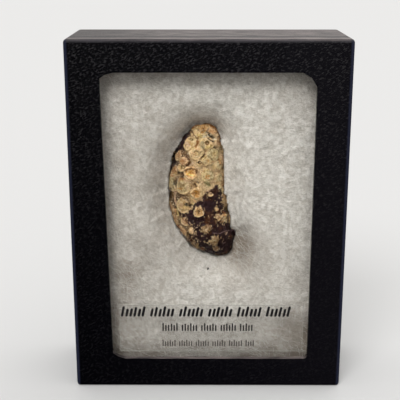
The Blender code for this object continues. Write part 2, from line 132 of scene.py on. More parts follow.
# Stains, cracks, pits and bright edges seen on the crust, with painted glints (painted_glint, base_glint, and
# some white and lilac dots): tone, width in mm, then x and z in mm of each point on the same plane
MARKS = [
    # tip
    ("brown", 0.75, -4.6, 79.6, -3.9, 80.1, -3.2, 80.4), ("pitbrown", 1.25, -1.4, 79.3, -1.7, 78.5),
    ("umbo", 0.45, -1.4, 79.3, -1.6, 78.9), ("peach", 0.45, -0.2, 80.9, 0.2, 80.3),
    ("rust", 0.60, 0.4, 80.3, 1.1, 79.9, 1.8, 79.1), ("olive", 0.35, -3.2, 81.3, -2.0, 81.5, -0.9, 81.4),
    ("yellow", 0.90, -2.9, 77.6, -2.2, 77.2), ("peach", 0.80, 0.4, 79.2, 1.5, 78.5),
    ("pit", 0.22, -0.8, 78.3, -0.5, 78.7, 0.1, 78.7), ("pit", 1.00, 0.4, 77.9, 1.0, 77.4, 1.6, 77.1),
    ("white", 0.70, -0.6, 78.0, -0.2, 77.4), ("white", 0.40, -1.5, 76.9, -0.8, 77.1),
    ("white", 0.40, 0.9, 76.3, 1.5, 76.1, 2.0, 76.6), ("pit", 0.16, -0.3, 76.6, 0.6, 75.8, 1.6, 75.6),
    ("umber", 0.50, 2.5, 78.8, 3.0, 77.8, 3.1, 76.0, 3.6, 75.0),
    ("umber", 0.20, -4.9, 79.1, -4.2, 77.6, -3.5, 76.6), ("lilac", 0.60, -6.2, 75.2, -5.3, 74.2),
    # upper third
    ("light", 0.14, -7.1, 74.1, -6.8, 75.2, -5.8, 76.5, -4.9, 77.2, -4.0, 77.1),
    ("olive", 0.60, -5.0, 76.4, -4.7, 76.0), ("brown", 0.75, -3.2, 75.6, -3.5, 74.8, -3.7, 74.0),
    ("umbo", 0.95, -0.5, 75.4, -0.5, 75.0), ("olive", 0.16, -1.0, 75.1, -0.5, 75.8, 0.0, 75.1),
    ("greengrey", 1.30, -1.9, 75.0, -1.7, 73.6), ("yellow", 1.00, -0.6, 73.9, 0.4, 74.2),
    ("pit", 0.34, 1.4, 74.0, 2.0, 73.8, 2.7, 73.2),
    ("olive", 0.14, -4.2, 72.3, -3.8, 72.7, -3.2, 72.6, -2.9, 72.0),
    ("yellow", 0.25, -3.5, 72.0, -3.4, 71.9), ("peach", 0.55, -3.5, 73.3, -3.0, 73.2),
    ("light", 0.25, -4.9, 72.2, -4.7, 71.9), ("umber", 0.34, -1.2, 71.6, -1.5, 71.2, -2.2, 70.8),
    ("light", 0.30, -2.9, 70.5, -2.2, 71.2), ("umber", 0.28, -7.4, 73.6, -7.7, 72.6, -7.7, 71.9),
    ("umber", 0.28, -6.6, 71.1, -5.9, 70.5, -5.5, 69.6, -5.8, 68.7, -6.7, 68.2),
    ("rust", 0.45, -7.7, 69.7, -7.1, 69.6),
    ("light", 0.20, -7.7, 70.5, -6.8, 70.6, -6.2, 70.0, -6.1, 69.3, -6.6, 68.9),
    ("light", 0.20, -9.0, 68.5, -8.8, 67.4, -7.9, 66.6, -6.9, 67.0),
    ("olive", 0.30, -7.8, 68.0, -7.7, 67.4), ("lilac", 0.50, -5.3, 68.5, -4.7, 69.0),
    ("pit", 0.14, -3.2, 69.3, -2.7, 69.6, -2.2, 69.2, -2.6, 68.8, -3.1, 69.2),
    ("white", 0.15, -2.7, 69.2, -2.7, 69.2), ("olive", 0.14, -3.5, 69.3, -3.3, 69.2),
    ("amber", 0.22, -0.8, 70.1, -0.3, 70.0, -0.2, 69.5), ("yellow", 0.30, -3.1, 68.2, -2.5, 68.0),
    ("peach", 0.50, 2.9, 69.9, 3.0, 69.0),
    # large orange cup
    ("umbo", 0.55, -6.6, 66.7, -5.5, 67.2, -4.2, 67.1, -3.5, 66.4),
    ("ochre", 0.45, -6.3, 66.3, -5.3, 66.6, -4.2, 66.4),
    ("hot", 0.70, -6.1, 65.8, -5.3, 65.3, -4.3, 65.4), ("painted_glint", 0.30, -5.7, 65.6, -5.2, 65.2, -4.5, 65.3),
    ("rim", 0.80, -7.2, 65.9, -6.8, 64.7, -5.5, 63.9, -4.2, 64.0, -3.4, 64.9),
    ("umber", 0.22, -3.8, 66.4, -3.5, 65.9), ("light", 0.18, -4.2, 66.9, -3.8, 66.6),
    ("lilac", 0.40, -2.9, 65.8, -2.6, 65.6),
    # middle right
    ("amber", 0.60, -1.0, 65.0, -0.1, 65.2), ("peach", 0.35, -1.0, 64.4, -0.1, 64.4),
    ("greendeep", 1.10, -0.8, 63.0, -0.1, 62.6, 0.4, 62.1), ("pit", 0.24, -3.4, 63.0, -3.0, 62.8),
    ("umber", 0.32, -4.2, 62.5, -3.6, 61.9), ("umber", 0.25, -7.5, 65.9, -7.6, 65.1),
    ("rust", 0.80, -8.8, 63.7, -8.0, 64.1, -6.9, 64.0), ("pit", 0.65, -9.7, 63.4, -9.9, 62.5),
    ("white", 0.18, -9.3, 63.6, -9.2, 63.2), ("peach", 0.70, -10.8, 65.5, -10.5, 65.1),
    ("rust", 0.35, -9.8, 67.4, -9.5, 66.9),
    # left and lower
    ("light", 0.20, -9.8, 61.3, -9.3, 60.3, -8.2, 59.7, -6.9, 59.6, -5.6, 60.2, -5.2, 60.8),
    ("ochre", 0.40, -8.8, 61.3, -7.7, 61.1),
    ("rim", 0.55, -3.1, 61.5, -2.1, 60.9, -1.8, 59.8, -2.1, 58.7, -3.0, 57.8),
    ("ochre", 0.60, -4.2, 60.6, -3.3, 60.2, -3.8, 59.2, -3.0, 58.8),
    ("cream", 0.50, -4.5, 57.6, -3.9, 56.9), ("pit", 0.85, -6.6, 56.3, -6.3, 56.0),
    ("pit", 0.60, -5.6, 55.9, -5.0, 55.8),
    ("light", 0.20, -9.4, 55.4, -8.7, 54.3, -7.2, 53.8, -6.0, 54.1, -5.4, 54.9),
    ("yellow", 0.35, -9.0, 55.3, -8.7, 55.0), ("umber", 0.20, -3.1, 54.3, -2.7, 54.1, -2.9, 53.6),
    ("light", 0.20, -1.4, 55.1, -1.1, 54.1, -1.7, 53.0, -3.1, 52.1, -4.2, 52.5),
    ("cream", 0.55, 1.9, 54.9, 2.1, 54.5), ("cream", 0.26, 1.3, 54.1, 1.3, 53.8),
    ("cream", 0.34, -0.3, 58.9, 0.5, 59.0, 1.1, 59.4), ("umber", 0.22, 0.1, 59.7, 0.6, 59.7),
    ("cream", 0.75, -3.5, 54.9, -2.8, 55.2, -2.2, 55.0), ("umber", 0.34, 3.3, 54.3, 3.1, 53.1),
    ("umber", 0.34, 3.2, 51.4, 3.0, 50.6), ("cream", 0.45, 2.6, 53.6, 2.5, 53.1),
    ("rim", 0.60, 3.2, 52.4, 3.8, 52.7), ("cream", 0.50, 2.9, 51.8, 2.5, 51.5),
    ("cream", 0.45, 2.2, 50.8, 2.4, 50.3), ("peach", 0.55, 3.6, 50.4, 4.0, 50.6),
    ("peach", 0.45, 4.4, 53.1, 4.3, 52.7), ("rust", 0.32, 4.4, 53.8, 4.8, 53.4),
    ("umber", 0.25, 1.6, 52.8, 1.7, 52.3), ("light", 0.16, -2.8, 49.3, -2.3, 50.4, -1.4, 50.7),
    ("peach", 0.36, -0.4, 47.5, 0.0, 47.0), ("light", 0.20, 1.2, 48.6, 0.7, 48.1),
    ("umber", 0.18, -0.4, 50.5, -0.2, 49.6), ("light", 0.14, 0.2, 44.8, -0.1, 43.9, 0.3, 43.1),
    ("rust", 0.32, 1.6, 44.9, 2.0, 44.6), ("tan", 0.70, 1.9, 42.4, 2.9, 42.4),
    ("hollow", 1.00, -11.2, 60.4, -11.2, 58.2),
    ("pinkcream", 0.60, -10.0, 60.2, -10.4, 58.6, -10.2, 57.0, -9.7, 55.9),
    ("umber", 0.35, -11.6, 61.4, -11.0, 61.2), ("yellow", 0.50, -9.8, 54.5, -9.3, 52.5),
    ("pit", 0.20, -9.0, 51.3, -8.2, 50.0, -6.9, 49.2),
    ("light", 0.14, -8.8, 51.6, -7.8, 50.4, -6.6, 49.5), ("umber", 0.50, -9.0, 49.1, -8.6, 48.3),
    ("lilac", 0.30, -5.7, 50.6, -5.5, 50.1), ("umber", 0.20, -6.6, 51.0, -6.3, 50.5),
    ("light", 0.30, -5.2, 49.0, -4.5, 47.8, -4.1, 47.0), ("lilac", 0.22, -3.9, 48.6, -3.3, 48.9),
    ("lilac", 0.24, -5.1, 45.9, -4.7, 45.8), ("tan", 0.22, -3.7, 46.4, -3.4, 46.2),
    ("greywarm", 1.10, -4.2, 43.9, -3.6, 43.2), ("peachdim", 0.50, -2.0, 42.1, -1.3, 41.7),
    ("base_glint", 0.18, 1.4, 47.0, 3.3, 46.8, 4.7, 47.5, 6.5, 47.6, 7.8, 47.8),
    ("lilac", 0.40, 5.2, 46.4, 5.7, 47.0), ("base_glint", 0.32, 4.5, 43.5, 5.1, 43.9),
    ("base_glint", 0.14, 3.8, 41.9, 4.6, 42.4),
    ("pinkcream", 0.90, 4.2, 61.0, 5.0, 59.3, 5.7, 57.2, 6.2, 55.3, 6.6, 52.6),
    ("bare", 0.90, 5.1, 54.8, 5.4, 52.6, 5.4, 50.6), ("white", 0.22, 2.8, 61.0, 3.0, 61.4),
    ("peach", 0.22, -10.2, 54.6, -10.1, 53.1),
    ("orangeedge", 0.35, -11.4, 55.1, -10.7, 52.5, -9.9, 50.1, -8.9, 48.6, -7.7, 46.9),
]
MARK_COLOURS = {
    "brown": (150, 104, 56), "rust": (150, 106, 62), "olive": (112, 96, 54), "pit": (40, 31, 20),
    "white": (232, 220, 202), "umber": (74, 42, 24), "lilac": (192, 172, 152),
    "light": (222, 194, 156), "umbo": (120, 86, 46), "greengrey": (152, 146, 118),
    "yellow": (200, 184, 126), "amber": (198, 154, 88), "peach": (208, 168, 122),
    "ochre": (178, 134, 64), "hot": (236, 180, 92), "greendeep": (160, 160, 120),
    "cream": (218, 188, 144), "tan": (142, 116, 92), "hollow": (78, 50, 20),
    "greywarm": (146, 124, 100), "peachdim": (142, 104, 86), "base_glint": (122, 104, 108),
    "pinkcream": (204, 176, 150), "orangeedge": (196, 136, 98), "pitbrown": (152, 112, 54),
    "bare": (50, 36, 40), "painted_glint": (255, 226, 164), "rim": (232, 198, 156),
}
SUNK_MARKS = ("pit", "umber", "hollow", "olive", "umbo", "pitbrown")
RAISED_MARKS = ("light", "white", "cream", "amber", "peach", "pinkcream", "rim")

# Colours of plate and pit as the photograph shows them (sRGB, 0 to 255), and the light on the front
FRONT_LIGHT = 0.80
WARMTH = (1.0, 0.88, 0.80)
# moss and dim are darker copies of green and cream, and peach is toned down, as painted shade for the plates
# on the left
TONES = {
    "cream": ((206, 184, 144), (184, 150, 98)),
    "green": ((178, 168, 132), (176, 140, 88)),
    "moss": ((160, 148, 114), (146, 116, 72)),
    "dim": ((176, 154, 114), (124, 94, 54)),
    "amber": ((196, 158, 104), (140, 102, 52)),
    "orange": ((222, 182, 138), (174, 124, 52)),
    "peach": ((168, 134, 98), (128, 98, 64)),
    "tan": ((142, 116, 86), (112, 86, 58)),
    "ring": ((206, 174, 130), (158, 120, 64)),
    "dark": ((60, 46, 48), (42, 32, 34)),
}
# Pale rim of the scales; laid on strongest on their lower left, as painted light
RIM_COLOUR = (232, 204, 162)
CRUST_GROUND = (204, 186, 152)
CRUST_BROWN = (156, 126, 82)
CRUST_PINK = (190, 162, 140)
CRUST_GREEN = (174, 168, 132)
CRUST_YELLOW = (208, 186, 122)
MATRIX_COLOUR = (50, 36, 40)
MATRIX_BROWN = (70, 44, 31)
CREAM_GROOVE = (104, 78, 46)

# Covering paper of the lid, as scene colours, with its painted reflection, glints and sheen
LEATHER_GRAIN = 0.62 * MM
# Front paper painted darker at the left and brighter at the right, as a painted reflection
PAPER_SHADED_LEFT = (0.0004, 0.0003, 0.0013)
PAPER_SHEEN_RIGHT = (0.0036, 0.0031, 0.0050)
# Colour of the painted glints on the grain
PAPER_GLINT = (0.034, 0.032, 0.034)
# Colour of the dust and painted sheen on the lid's top
PAPER_DUST_AND_SHEEN = (0.250, 0.208, 0.200)
PAPER_EDGE = (0.060, 0.056, 0.064)
# Colour of the painted bluish reflection by the side edges
PAPER_SIDE_REFLECTION = (0.012, 0.016, 0.040)

# Batting
# Brown of dust and of painted shade in the batting
DUST_AND_SHADE_COLOUR = (122, 106, 92)
BATTING_BELOW_GLASS = 0.7 * MM
BATTING_EDGE_FALL = 1.6 * MM
BATTING_EDGE_WIDTH = 8.0 * MM
MOAT_DEPTH = 6.1 * MM
MOAT_WIDTH = 4.8 * MM
TIP_HOLLOW = 2.6 * MM
TIP_HOLLOW_WIDTH = 2.0 * MM
BATTING_CELL = 0.42 * MM
POCKET_GAP = 0.1 * MM
# Darker places in the fibre, dust and painted shade (beside the cone's base, under the frame at the top
# right, in the lower right corner): x, z and radius in mm, amount
DUST_AND_SHADE_SPOTS = [
    (29.0, 91.0, 8.0, 0.40), (29.0, 14.0, 10.0, 0.85), (-15.0, 35.0, 8.0, 0.22), (9.5, 37.0, 6.0, 0.50),
    (-25.0, 66.0, 6.0, 0.26), (27.0, 30.0, 6.0, 0.18), (-14.0, 86.0, 5.0, 0.16), (-25.5, 40.0, 8.0, 0.18),
    (-27.0, 22.0, 7.0, 0.50),
]

# Loose fibres
FIBRES = 3000
FIBRE_RADIUS = 0.022 * MM
FIBRE_STEPS = 8
FIBRE_SIDES = 3

# Dark crumb: x and z, and size
CRUMB_PLACE = (-0.05 * MM, 36.4 * MM)
CRUMB_SIZE = np.array([0.5, 0.45, 0.95]) * MM

# Plain strokes on the label, in groups of equal length
STROKE_GROUP = 7
STROKE_HEIGHTS = (1.0, 0.70, 0.74, 0.92, 0.70)
# name, middle above the film's foot, height, thickness, pitch, left end, right end in mm, slant
STROKE_ROWS = [
    ("title_strokes", 13.4, 2.7, 0.74, 1.28, -27.0, 25.6, 0.21),
    ("second_strokes", 8.2, 2.2, 0.46, 0.86, -14.4, 14.6, 0.0),
    ("third_strokes", 2.8, 1.8, 0.38, 0.74, -14.4, 14.5, 0.0),
]


def linear(colour):
    """Scene colour of an sRGB colour given as 0 to 255."""
    c = np.asarray(colour, float) / 255
    return np.where(c <= 0.04045, c / 12.92, ((c + 0.055) / 1.055) ** 2.4)


def hash_noise(points, seed):
    """Smooth random value from 0 to 1 at each point, from a lattice one unit apart."""
    cell = np.floor(points).astype(np.int64)
    part = points - cell
    part = part * part * (3 - 2 * part)
    total = np.zeros(len(points))
    for corner in range(8):
        step = np.array([corner & 1, corner >> 1 & 1, corner >> 2 & 1])
        x, y, z = (cell + step).T
        mixed = (x * 374761393 + y * 668265263 + z * 2147483647 + seed * 1274126177) & 0xFFFFFFFF
        mixed = ((mixed ^ (mixed >> 13)) * 1274126177) & 0xFFFFFFFF
        value = ((mixed ^ (mixed >> 16)) & 0xFFFF) / 65535.0
        weight = np.prod(np.where(step, part, 1 - part), axis=1)
        total += weight * value
    return total


def noise(points, size, seed, octaves=3):
    """Noise from -1 to 1 with features of the given size in metres."""
    total = np.zeros(len(points))
    amount = 0.0
    for n in range(octaves):
        share = 0.5 ** n
        total += share * (2 * hash_noise(points / size * 2 ** n + 17.3 * n, seed + n) - 1)
        amount += share
    return total / amount


class Nodes:
    """Short way to build the node tree of a material, or of another owner."""

    def __init__(self, name, owner=None):
        self.owner = owner or bpy.data.materials.new(name)
        self.owner.use_nodes = True
        self.tree = self.owner.node_tree
        self.tree.nodes.clear()

    def add(self, kind, values=None, **settings):
        node = self.tree.nodes.new("ShaderNode" + kind)
        for key, value in settings.items():
            setattr(node, key, value)
        for key, value in (values or {}).items():
            self.set(node.inputs[key], value)
        return node

    def set(self, socket, value):
        if isinstance(value, bpy.types.NodeSocket):
            self.tree.links.new(value, socket)
        elif socket.type == "RGBA":
            socket.default_value = (*value[:3], 1.0)
        else:
            socket.default_value = value

    def maths(self, operation, a, b=0.0):
        return self.add("Math", {0: a, 1: b}, operation=operation).outputs[0]

    def times(self, product, *factors):
        for factor in factors:
            product = self.maths("MULTIPLY", product, factor)
        return product

    def plus(self, a, b):
        return self.maths("ADD", a, b)

    def minus(self, a, b):
        return self.maths("SUBTRACT", a, b)

    def mix(self, factor, a, b, blend="MIX"):
        return self.add("Mix", {0: factor, 6: a, 7: b}, data_type="RGBA", blend_type=blend).outputs[2]

    def mix_shaders(self, factor, a, b):
        return self.add("MixShader", {0: factor, 1: a, 2: b}).outputs[0]

    def ramp(self, value, low, high, out_low=0.0, out_high=1.0):
        return self.add("MapRange", {0: value, 1: low, 2: high, 3: out_low, 4: out_high}).outputs[0]

    def object_place(self):
        return self.add("TexCoord").outputs["Object"]

    def parts(self, place):
        return self.add("SeparateXYZ", {0: place}).outputs

    def mapping(self, place, **settings):
        kind = settings.pop("vector_type", "POINT")
        values = {key.capitalize(): value for key, value in settings.items()}
        return self.add("Mapping", {"Vector": place, **values}, vector_type=kind).outputs[0]

    def noise(self, place, size, detail=4.0, rough=0.55):
        values = {"Vector": place, "Scale": 1 / size, "Detail": detail, "Roughness": rough}
        return self.add("TexNoise", values).outputs[0]

    def bump(self, height, strength, distance):
        return self.add("Bump", {"Strength": strength, "Distance": distance, "Height": height}).outputs[0]

    def finish(self, shader):
        self.add("OutputMaterial", {"Surface": shader})
        return self.owner

    def coated(self, colour, roughness, more=None):
        """Finished material with one principled shader."""
        values = {"Base Color": colour, "Roughness": roughness, **(more or {})}
        return self.finish(self.add("BsdfPrincipled", values).outputs[0])


def leatherette():
    """Black covering paper with a pressed leather grain, worn along its edges, with painted light: a painted
    reflection brighter to the right, painted glints, dust and painted sheen on top, and a painted bluish
    reflection by the side edges.
    """
    n = Nodes("black_leatherette")
    place = n.object_place()
    x, y, z = n.parts(place)
    stretched = n.mapping(place, scale=(1.0, 1.0, 1.6))
    cells = n.add("TexVoronoi", {"Vector": stretched, "Scale": 1 / LEATHER_GRAIN, "Randomness": 1.0},
                  feature="DISTANCE_TO_EDGE").outputs[0]
    fine = n.noise(place, LEATHER_GRAIN * 0.45, 5.0, 0.6)
    height = n.plus(n.times(n.ramp(cells, 0.02, 0.22), 0.8), n.times(fine, 0.75))
    # painted reflection: darker to the left, brighter to the right
    paint = n.mix(n.ramp(x, -36 * MM, 36 * MM), PAPER_SHADED_LEFT, PAPER_SHEEN_RIGHT)
    # painted glints on the grain tops, stronger towards the top of the lid where the light falls
    slanted = n.mapping(place, rotation=(0.0, -0.45, 0.0), scale=(2.4, 1.0, 1.0), vector_type="TEXTURE")
    upward = n.ramp(z, 0.45 * LID_HIGH.z, LID_HIGH.z, 0.25, 1.0)
    glints = n.times(n.ramp(n.noise(slanted, 0.42 * MM, 2.0, 0.6), 0.56, 0.62), upward, 0.62)
    paint = n.mix(glints, paint, PAPER_GLINT)
    on_top = n.ramp(n.parts(n.add("NewGeometry").outputs["Normal"])["Z"], 0.35, 0.95)
    # dust and painted sheen on the top face
    paint = n.mix(n.times(on_top, top_dust_and_sheen(n, place, x, y)), paint, PAPER_DUST_AND_SHEEN)
    broad = n.noise(place, 9 * MM, 3.0)
    from_side = n.minus(LID_HIGH.x, n.maths("ABSOLUTE", x))
    from_end = n.maths("MINIMUM", from_side, n.minus(LID_HIGH.z, z))
    from_edge = n.maths("MAXIMUM", n.minus(y, LID_LOW.y), from_end)
    edge = n.times(n.ramp(from_edge, 0.15 * MM, 1.1 * MM, 1.0, 0.0), n.ramp(broad, 0.3, 0.6, 0.4, 1.0))
    paint = n.mix(edge, paint, PAPER_EDGE)
    in_front = n.ramp(y, LID_LOW.y + 0.4 * MM, LID_LOW.y + 1.2 * MM, 1.0, 0.0)
    # painted bluish reflection on the front next to the side edges
    side_reflection = n.times(n.ramp(from_side, 0.6 * MM, 1.3 * MM, 1.0, 0.0), in_front, 0.8)
    paint = n.mix(side_reflection, paint, PAPER_SIDE_REFLECTION)
    rough = n.plus(n.ramp(fine, 0.3, 0.7, 0.16, 0.30), n.times(on_top, 0.22))
    return n.coated(paint, rough, {"Normal": n.bump(height, 1.0, 0.045 * MM), "Specular IOR Level": 0.12})


def top_dust_and_sheen(n, place, x, y):
    """Dust and painted sheen on the lid's top: streaks along it, less at the left, and a pale painted
    highlight line and a dark line in front.
    """
    streaks = n.ramp(n.noise(n.mapping(place, scale=(0.16, 1.0, 1.0)), 1.3 * MM, 4.0, 0.6), 0.38, 0.62)
    behind_edge = n.minus(y, LID_LOW.y)
    dark_line = n.times(n.ramp(behind_edge, 4.5 * MM, 6.5 * MM),
                        n.ramp(behind_edge, 8.0 * MM, 10.5 * MM, 1.0, 0.0), 0.8)
    highlight_line = n.times(n.ramp(behind_edge, 1.0 * MM, 2.2 * MM),
                         n.ramp(behind_edge, 3.5 * MM, 5.5 * MM, 1.0, 0.0), 0.30)
    dust = n.times(n.ramp(streaks, 0.0, 1.0, 0.10, 0.85), n.ramp(x, -36 * MM, -6 * MM, 0.45, 1.0),
                   n.minus(1.0, dark_line))
    return n.plus(dust, highlight_line)


def plain_board():
    """Matte black paper on the tray, thinner and smoother than the lid's."""
    n = Nodes("tray_paper")
    place = n.object_place()
    fibre = n.noise(place, 0.9 * MM, 6.0, 0.65)
    broad = n.noise(place, 14 * MM, 3.0)
    paint = n.mix(n.ramp(broad, 0.3, 0.7), linear((24, 23, 24)), linear((34, 32, 32)))
    return n.coated(paint, n.ramp(fibre, 0.3, 0.7, 0.55, 0.75),
                    {"Normal": n.bump(fibre, 0.5, 0.05 * MM), "Specular IOR Level": 0.3})


def clear_glass():
    """Thin clear glass; light on its way to a lamp passes straight through."""
    n = Nodes("window_glass")
    glass = n.add("BsdfGlass", {"Color": (0.985, 0.99, 0.985), "Roughness": 0.0, "IOR": 1.5})
    through = n.add("BsdfTransparent", {"Color": (0.95, 0.96, 0.95)})
    shadow = n.add("LightPath").outputs["Is Shadow Ray"]
    return n.finish(n.mix_shaders(shadow, glass.outputs[0], through.outputs[0]))


def label_film():
    """Clear film with a faint haze."""
    n = Nodes("label_film")
    return n.coated(linear((176, 172, 164)), 0.35, {"Alpha": 0.09, "Specular IOR Level": 0.3})


def film_edge():
    """Paler edge of the film."""
    return Nodes("label_film_edge").coated(linear((190, 188, 180)), 0.4, {"Alpha": 0.55})


def printed_line(name, colour):
    """Ink on the film, a little uneven."""
    n = Nodes(name)
    grain = n.noise(n.object_place(), 0.25 * MM, 3.0)
    paint = n.mix(n.ramp(grain, 0.3, 0.7), linear(colour), linear([c * 1.25 for c in colour]))
    return n.coated(paint, 0.45)


def batting_fibre(name, light, dim):
    """White loose fibre: short crossed wisps, browner where dust has settled and where shade is painted in.
    """
    n = Nodes(name)
    place = n.object_place()
    clumps = n.noise(place, 1.4 * MM, 6.0, 0.65)
    crossed = None
    for lean, shift in ((0.6, 0.0), (-0.5, 0.37), (1.5, 0.71)):
        turned = n.mapping(place, rotation=(0.0, lean, 0.0), location=(shift, 0.0, 0.0),
                           scale=(0.22, 1.0, 1.0))
        wisps = n.noise(turned, 0.22 * MM, 3.0, 0.6)
        crossed = n.maths("MAXIMUM", crossed, wisps) if crossed else wisps
    mixed = n.plus(n.times(clumps, 0.45), n.times(crossed, 0.55))
    paint = n.mix(n.ramp(mixed, 0.47, 0.61), linear(dim), linear(light))
    soil = n.add("Attribute", attribute_name="soil").outputs["Fac"]
    paint = n.mix(soil, paint, linear(DUST_AND_SHADE_COLOUR))
    return n.coated(paint, 0.9, {"Normal": n.bump(crossed, 0.9, 0.30 * MM), "Specular IOR Level": 0.1,
                                 "Sheen Weight": 0.2, "Sheen Roughness": 0.6})


def fossil_stone():
    """Cream and orange crust on dark stone: the tone lies in the mesh, the grain comes from here."""
    n = Nodes("fossil_stone")
    place = n.object_place()
    colour = n.add("Attribute", attribute_name="tone").outputs["Color"]
    crust = n.add("Attribute", attribute_name="crust").outputs["Fac"]
    mottle = n.noise(place, 0.9 * MM, 6.0, 0.65)
    grain = n.noise(place, 0.22 * MM, 5.0, 0.6)
    stain = n.noise(place, 1.9 * MM, 4.0, 0.6)
    grit = n.noise(place, 0.50 * MM, 3.0, 0.6)
    holes = n.times(n.ramp(grit, 0.57, 0.66, 0.0, 0.75), crust)
    colour = n.mix(n.ramp(mottle, 0.48, 0.60, 0.0, 0.70), colour, (0.50, 0.41, 0.30), "MULTIPLY")
    for share, speck in ((n.ramp(mottle, 0.30, 0.44, 0.40, 0.0), (0.86, 0.72, 0.50)),
                         (n.ramp(stain, 0.54, 0.70, 0.0, 0.38), (0.60, 0.38, 0.18)),
                         (n.ramp(grain, 0.56, 0.68, 0.0, 0.35), (0.17, 0.10, 0.05)),
                         (n.ramp(grit, 0.57, 0.66, 0.0, 0.75), (0.13, 0.075, 0.035)),
                         (n.ramp(grit, 0.44, 0.34, 0.0, 0.55), (0.92, 0.76, 0.52))):
        colour = n.mix(n.times(crust, share), colour, speck)
    height = n.minus(n.plus(grain, n.times(mottle, 0.8)), n.times(holes, 0.8))
    rough = n.minus(n.ramp(crust, 0.0, 1.0, 0.34, 0.66), n.ramp(grain, 0.3, 0.8, 0.0, 0.12))
    return n.coated(colour, rough, {"Normal": n.bump(height, 0.7, 0.07 * MM), "Specular IOR Level": 0.09})


def mesh_object(name, points, faces, mat, smooth=True, **attributes):
    """Object from arrays, with one number or colour for each point in each named attribute."""
    mesh = bpy.data.meshes.new(name)
    mesh.from_pydata([tuple(p) for p in points], [], faces)
    mesh.materials.append(mat)
    if smooth:
        mesh.shade_smooth()
    for key, values in attributes.items():
        values = np.asarray(values, dtype=np.float32)
        if values.ndim == 1:
            mesh.attributes.new(key, "FLOAT", "POINT").data.foreach_set("value", values)
        else:
            with_alpha = np.hstack([values, np.ones((len(values), 1), np.float32)])
            mesh.attributes.new(key, "FLOAT_COLOR", "POINT").data.foreach_set("color", with_alpha.ravel())
    return in_scene(name, mesh)


def in_scene(name, data):
    """New object of a mesh, lamp or camera, linked to the scene."""
    obj = bpy.data.objects.new(name, data)
    bpy.context.scene.collection.objects.link(obj)
    return obj


def bmesh_object(name, bm, *mats):
    """Object from a bmesh, which is freed."""
    mesh = bpy.data.meshes.new(name)
    bm.to_mesh(mesh)
    bm.free()
    for mat in mats:
        mesh.materials.append(mat)
    return in_scene(name, mesh)


def grid_faces(rows, columns, wrap=False):
    """Quads of a grid of points, row after row; a wrapped grid closes on itself sideways."""
    faces = []
    for low in range(0, (rows - 1) * columns, columns):
        for i in range(columns if wrap else columns - 1):
            after = (i + 1) % columns
            faces.append((low + i, low + after, low + columns + after, low + columns + i))
    return faces


def tube_faces(rows, columns):
    """Faces of a tube of point rings, capped at both ends."""
    last = columns * (rows - 1)
    caps = [tuple(reversed(range(columns))), tuple(range(last, last + columns))]
    return grid_faces(rows, columns, wrap=True) + caps


def spine_point(t):
    """Place and direction of the cone's spine, t from 0 at the base to 1 at the tip."""
    p0, p1, p2, p3 = [np.array(p) for p in SPINE]
    t = np.asarray(t, float)[..., None]
    place = (1 - t) ** 3 * p0 + 3 * (1 - t) ** 2 * t * p1 + 3 * (1 - t) * t ** 2 * p2 + t ** 3 * p3
    ahead = (1 - t) ** 2 * (p1 - p0) + 2 * (1 - t) * t * (p2 - p1) + t ** 2 * (p3 - p2)
    return place, ahead / np.linalg.norm(ahead, axis=-1, keepdims=True)


def half_width(slant):
    """Half width of the smooth body at a slant angle, -90 degrees at the base, +90 at the tip."""
    u = np.sin(slant)
    return np.cos(slant) * sum(c * u ** n for n, c in enumerate(HALF_WIDTH))


def body_point(slant, turn):
    """Point of the smooth bent body; turn 0 faces the glass and +90 degrees is to the right."""
    place, ahead = spine_point((np.sin(slant) + 1) / 2)
    width = half_width(slant)
    side = width * np.sin(turn)
    x = place[..., 0] + ahead[..., 1] * side
    z = place[..., 1] - ahead[..., 0] * side
    y = -FLATNESS * width * np.cos(turn)
    return np.stack([x, y, z], axis=-1)


def body_normal(slant, turn):
    """Outward direction of the smooth body."""
    step = 1e-3
    slant = np.clip(slant, -math.pi / 2 + 4 * step, math.pi / 2 - 4 * step)
    along = body_point(slant + step, turn) - body_point(slant - step, turn)
    around = body_point(slant, turn + step) - body_point(slant, turn - step)
    normal = np.cross(around, along)
    return normal / np.linalg.norm(normal, axis=-1, keepdims=True)


class RoundMap:
    """Even map between the long body and a unit sphere, on which circles stay circles."""

    def __init__(self):
        self.slant = np.linspace(-math.pi / 2 + 1e-3, math.pi / 2 - 1e-3, 2001)
        mean = (1 + FLATNESS) / 2
        radius = mean * half_width(self.slant)
        place, _ = spine_point((np.sin(self.slant) + 1) / 2)
        run = np.hypot(*np.gradient(place, self.slant, axis=0).T)
        slope = np.hypot(run, np.gradient(radius, self.slant)) / radius
        extra = slope - 1 / np.cos(self.slant)
        step = self.slant[1] - self.slant[0]
        gained = np.concatenate([[0], np.cumsum((extra[1:] + extra[:-1]) / 2 * step)])
        rise = np.arctanh(np.sin(self.slant)) + gained - gained[len(gained) // 2]
        self.height = np.tanh(rise)
        self.size = radius * np.cosh(rise)
        band = 2 * math.pi * radius * np.hypot(run, np.gradient(radius, self.slant))
        self.area = np.concatenate([[0], np.cumsum((band[1:] + band[:-1]) / 2 * step)])

    def direction(self, slant, turn):
        h = np.interp(slant, self.slant, self.height)
        flat = np.sqrt(1 - h * h)
        return np.stack([flat * np.sin(turn), -flat * np.cos(turn), h], axis=-1)

    def size_at(self, slant):
        """Size on the cone of one radian on the sphere, in metres."""
        return np.interp(slant, self.slant, self.size)

    def slant_at_share(self, share):
        """Slant below which the given share of the cone's surface lies."""
        return float(np.interp(share * self.area[-1], self.area, self.slant))


def seen_height(points):
    """Height at which points are seen on the plane of the cone's middle."""
    return points[..., 2] + points[..., 1] * math.tan(SEEN_FROM_ABOVE)


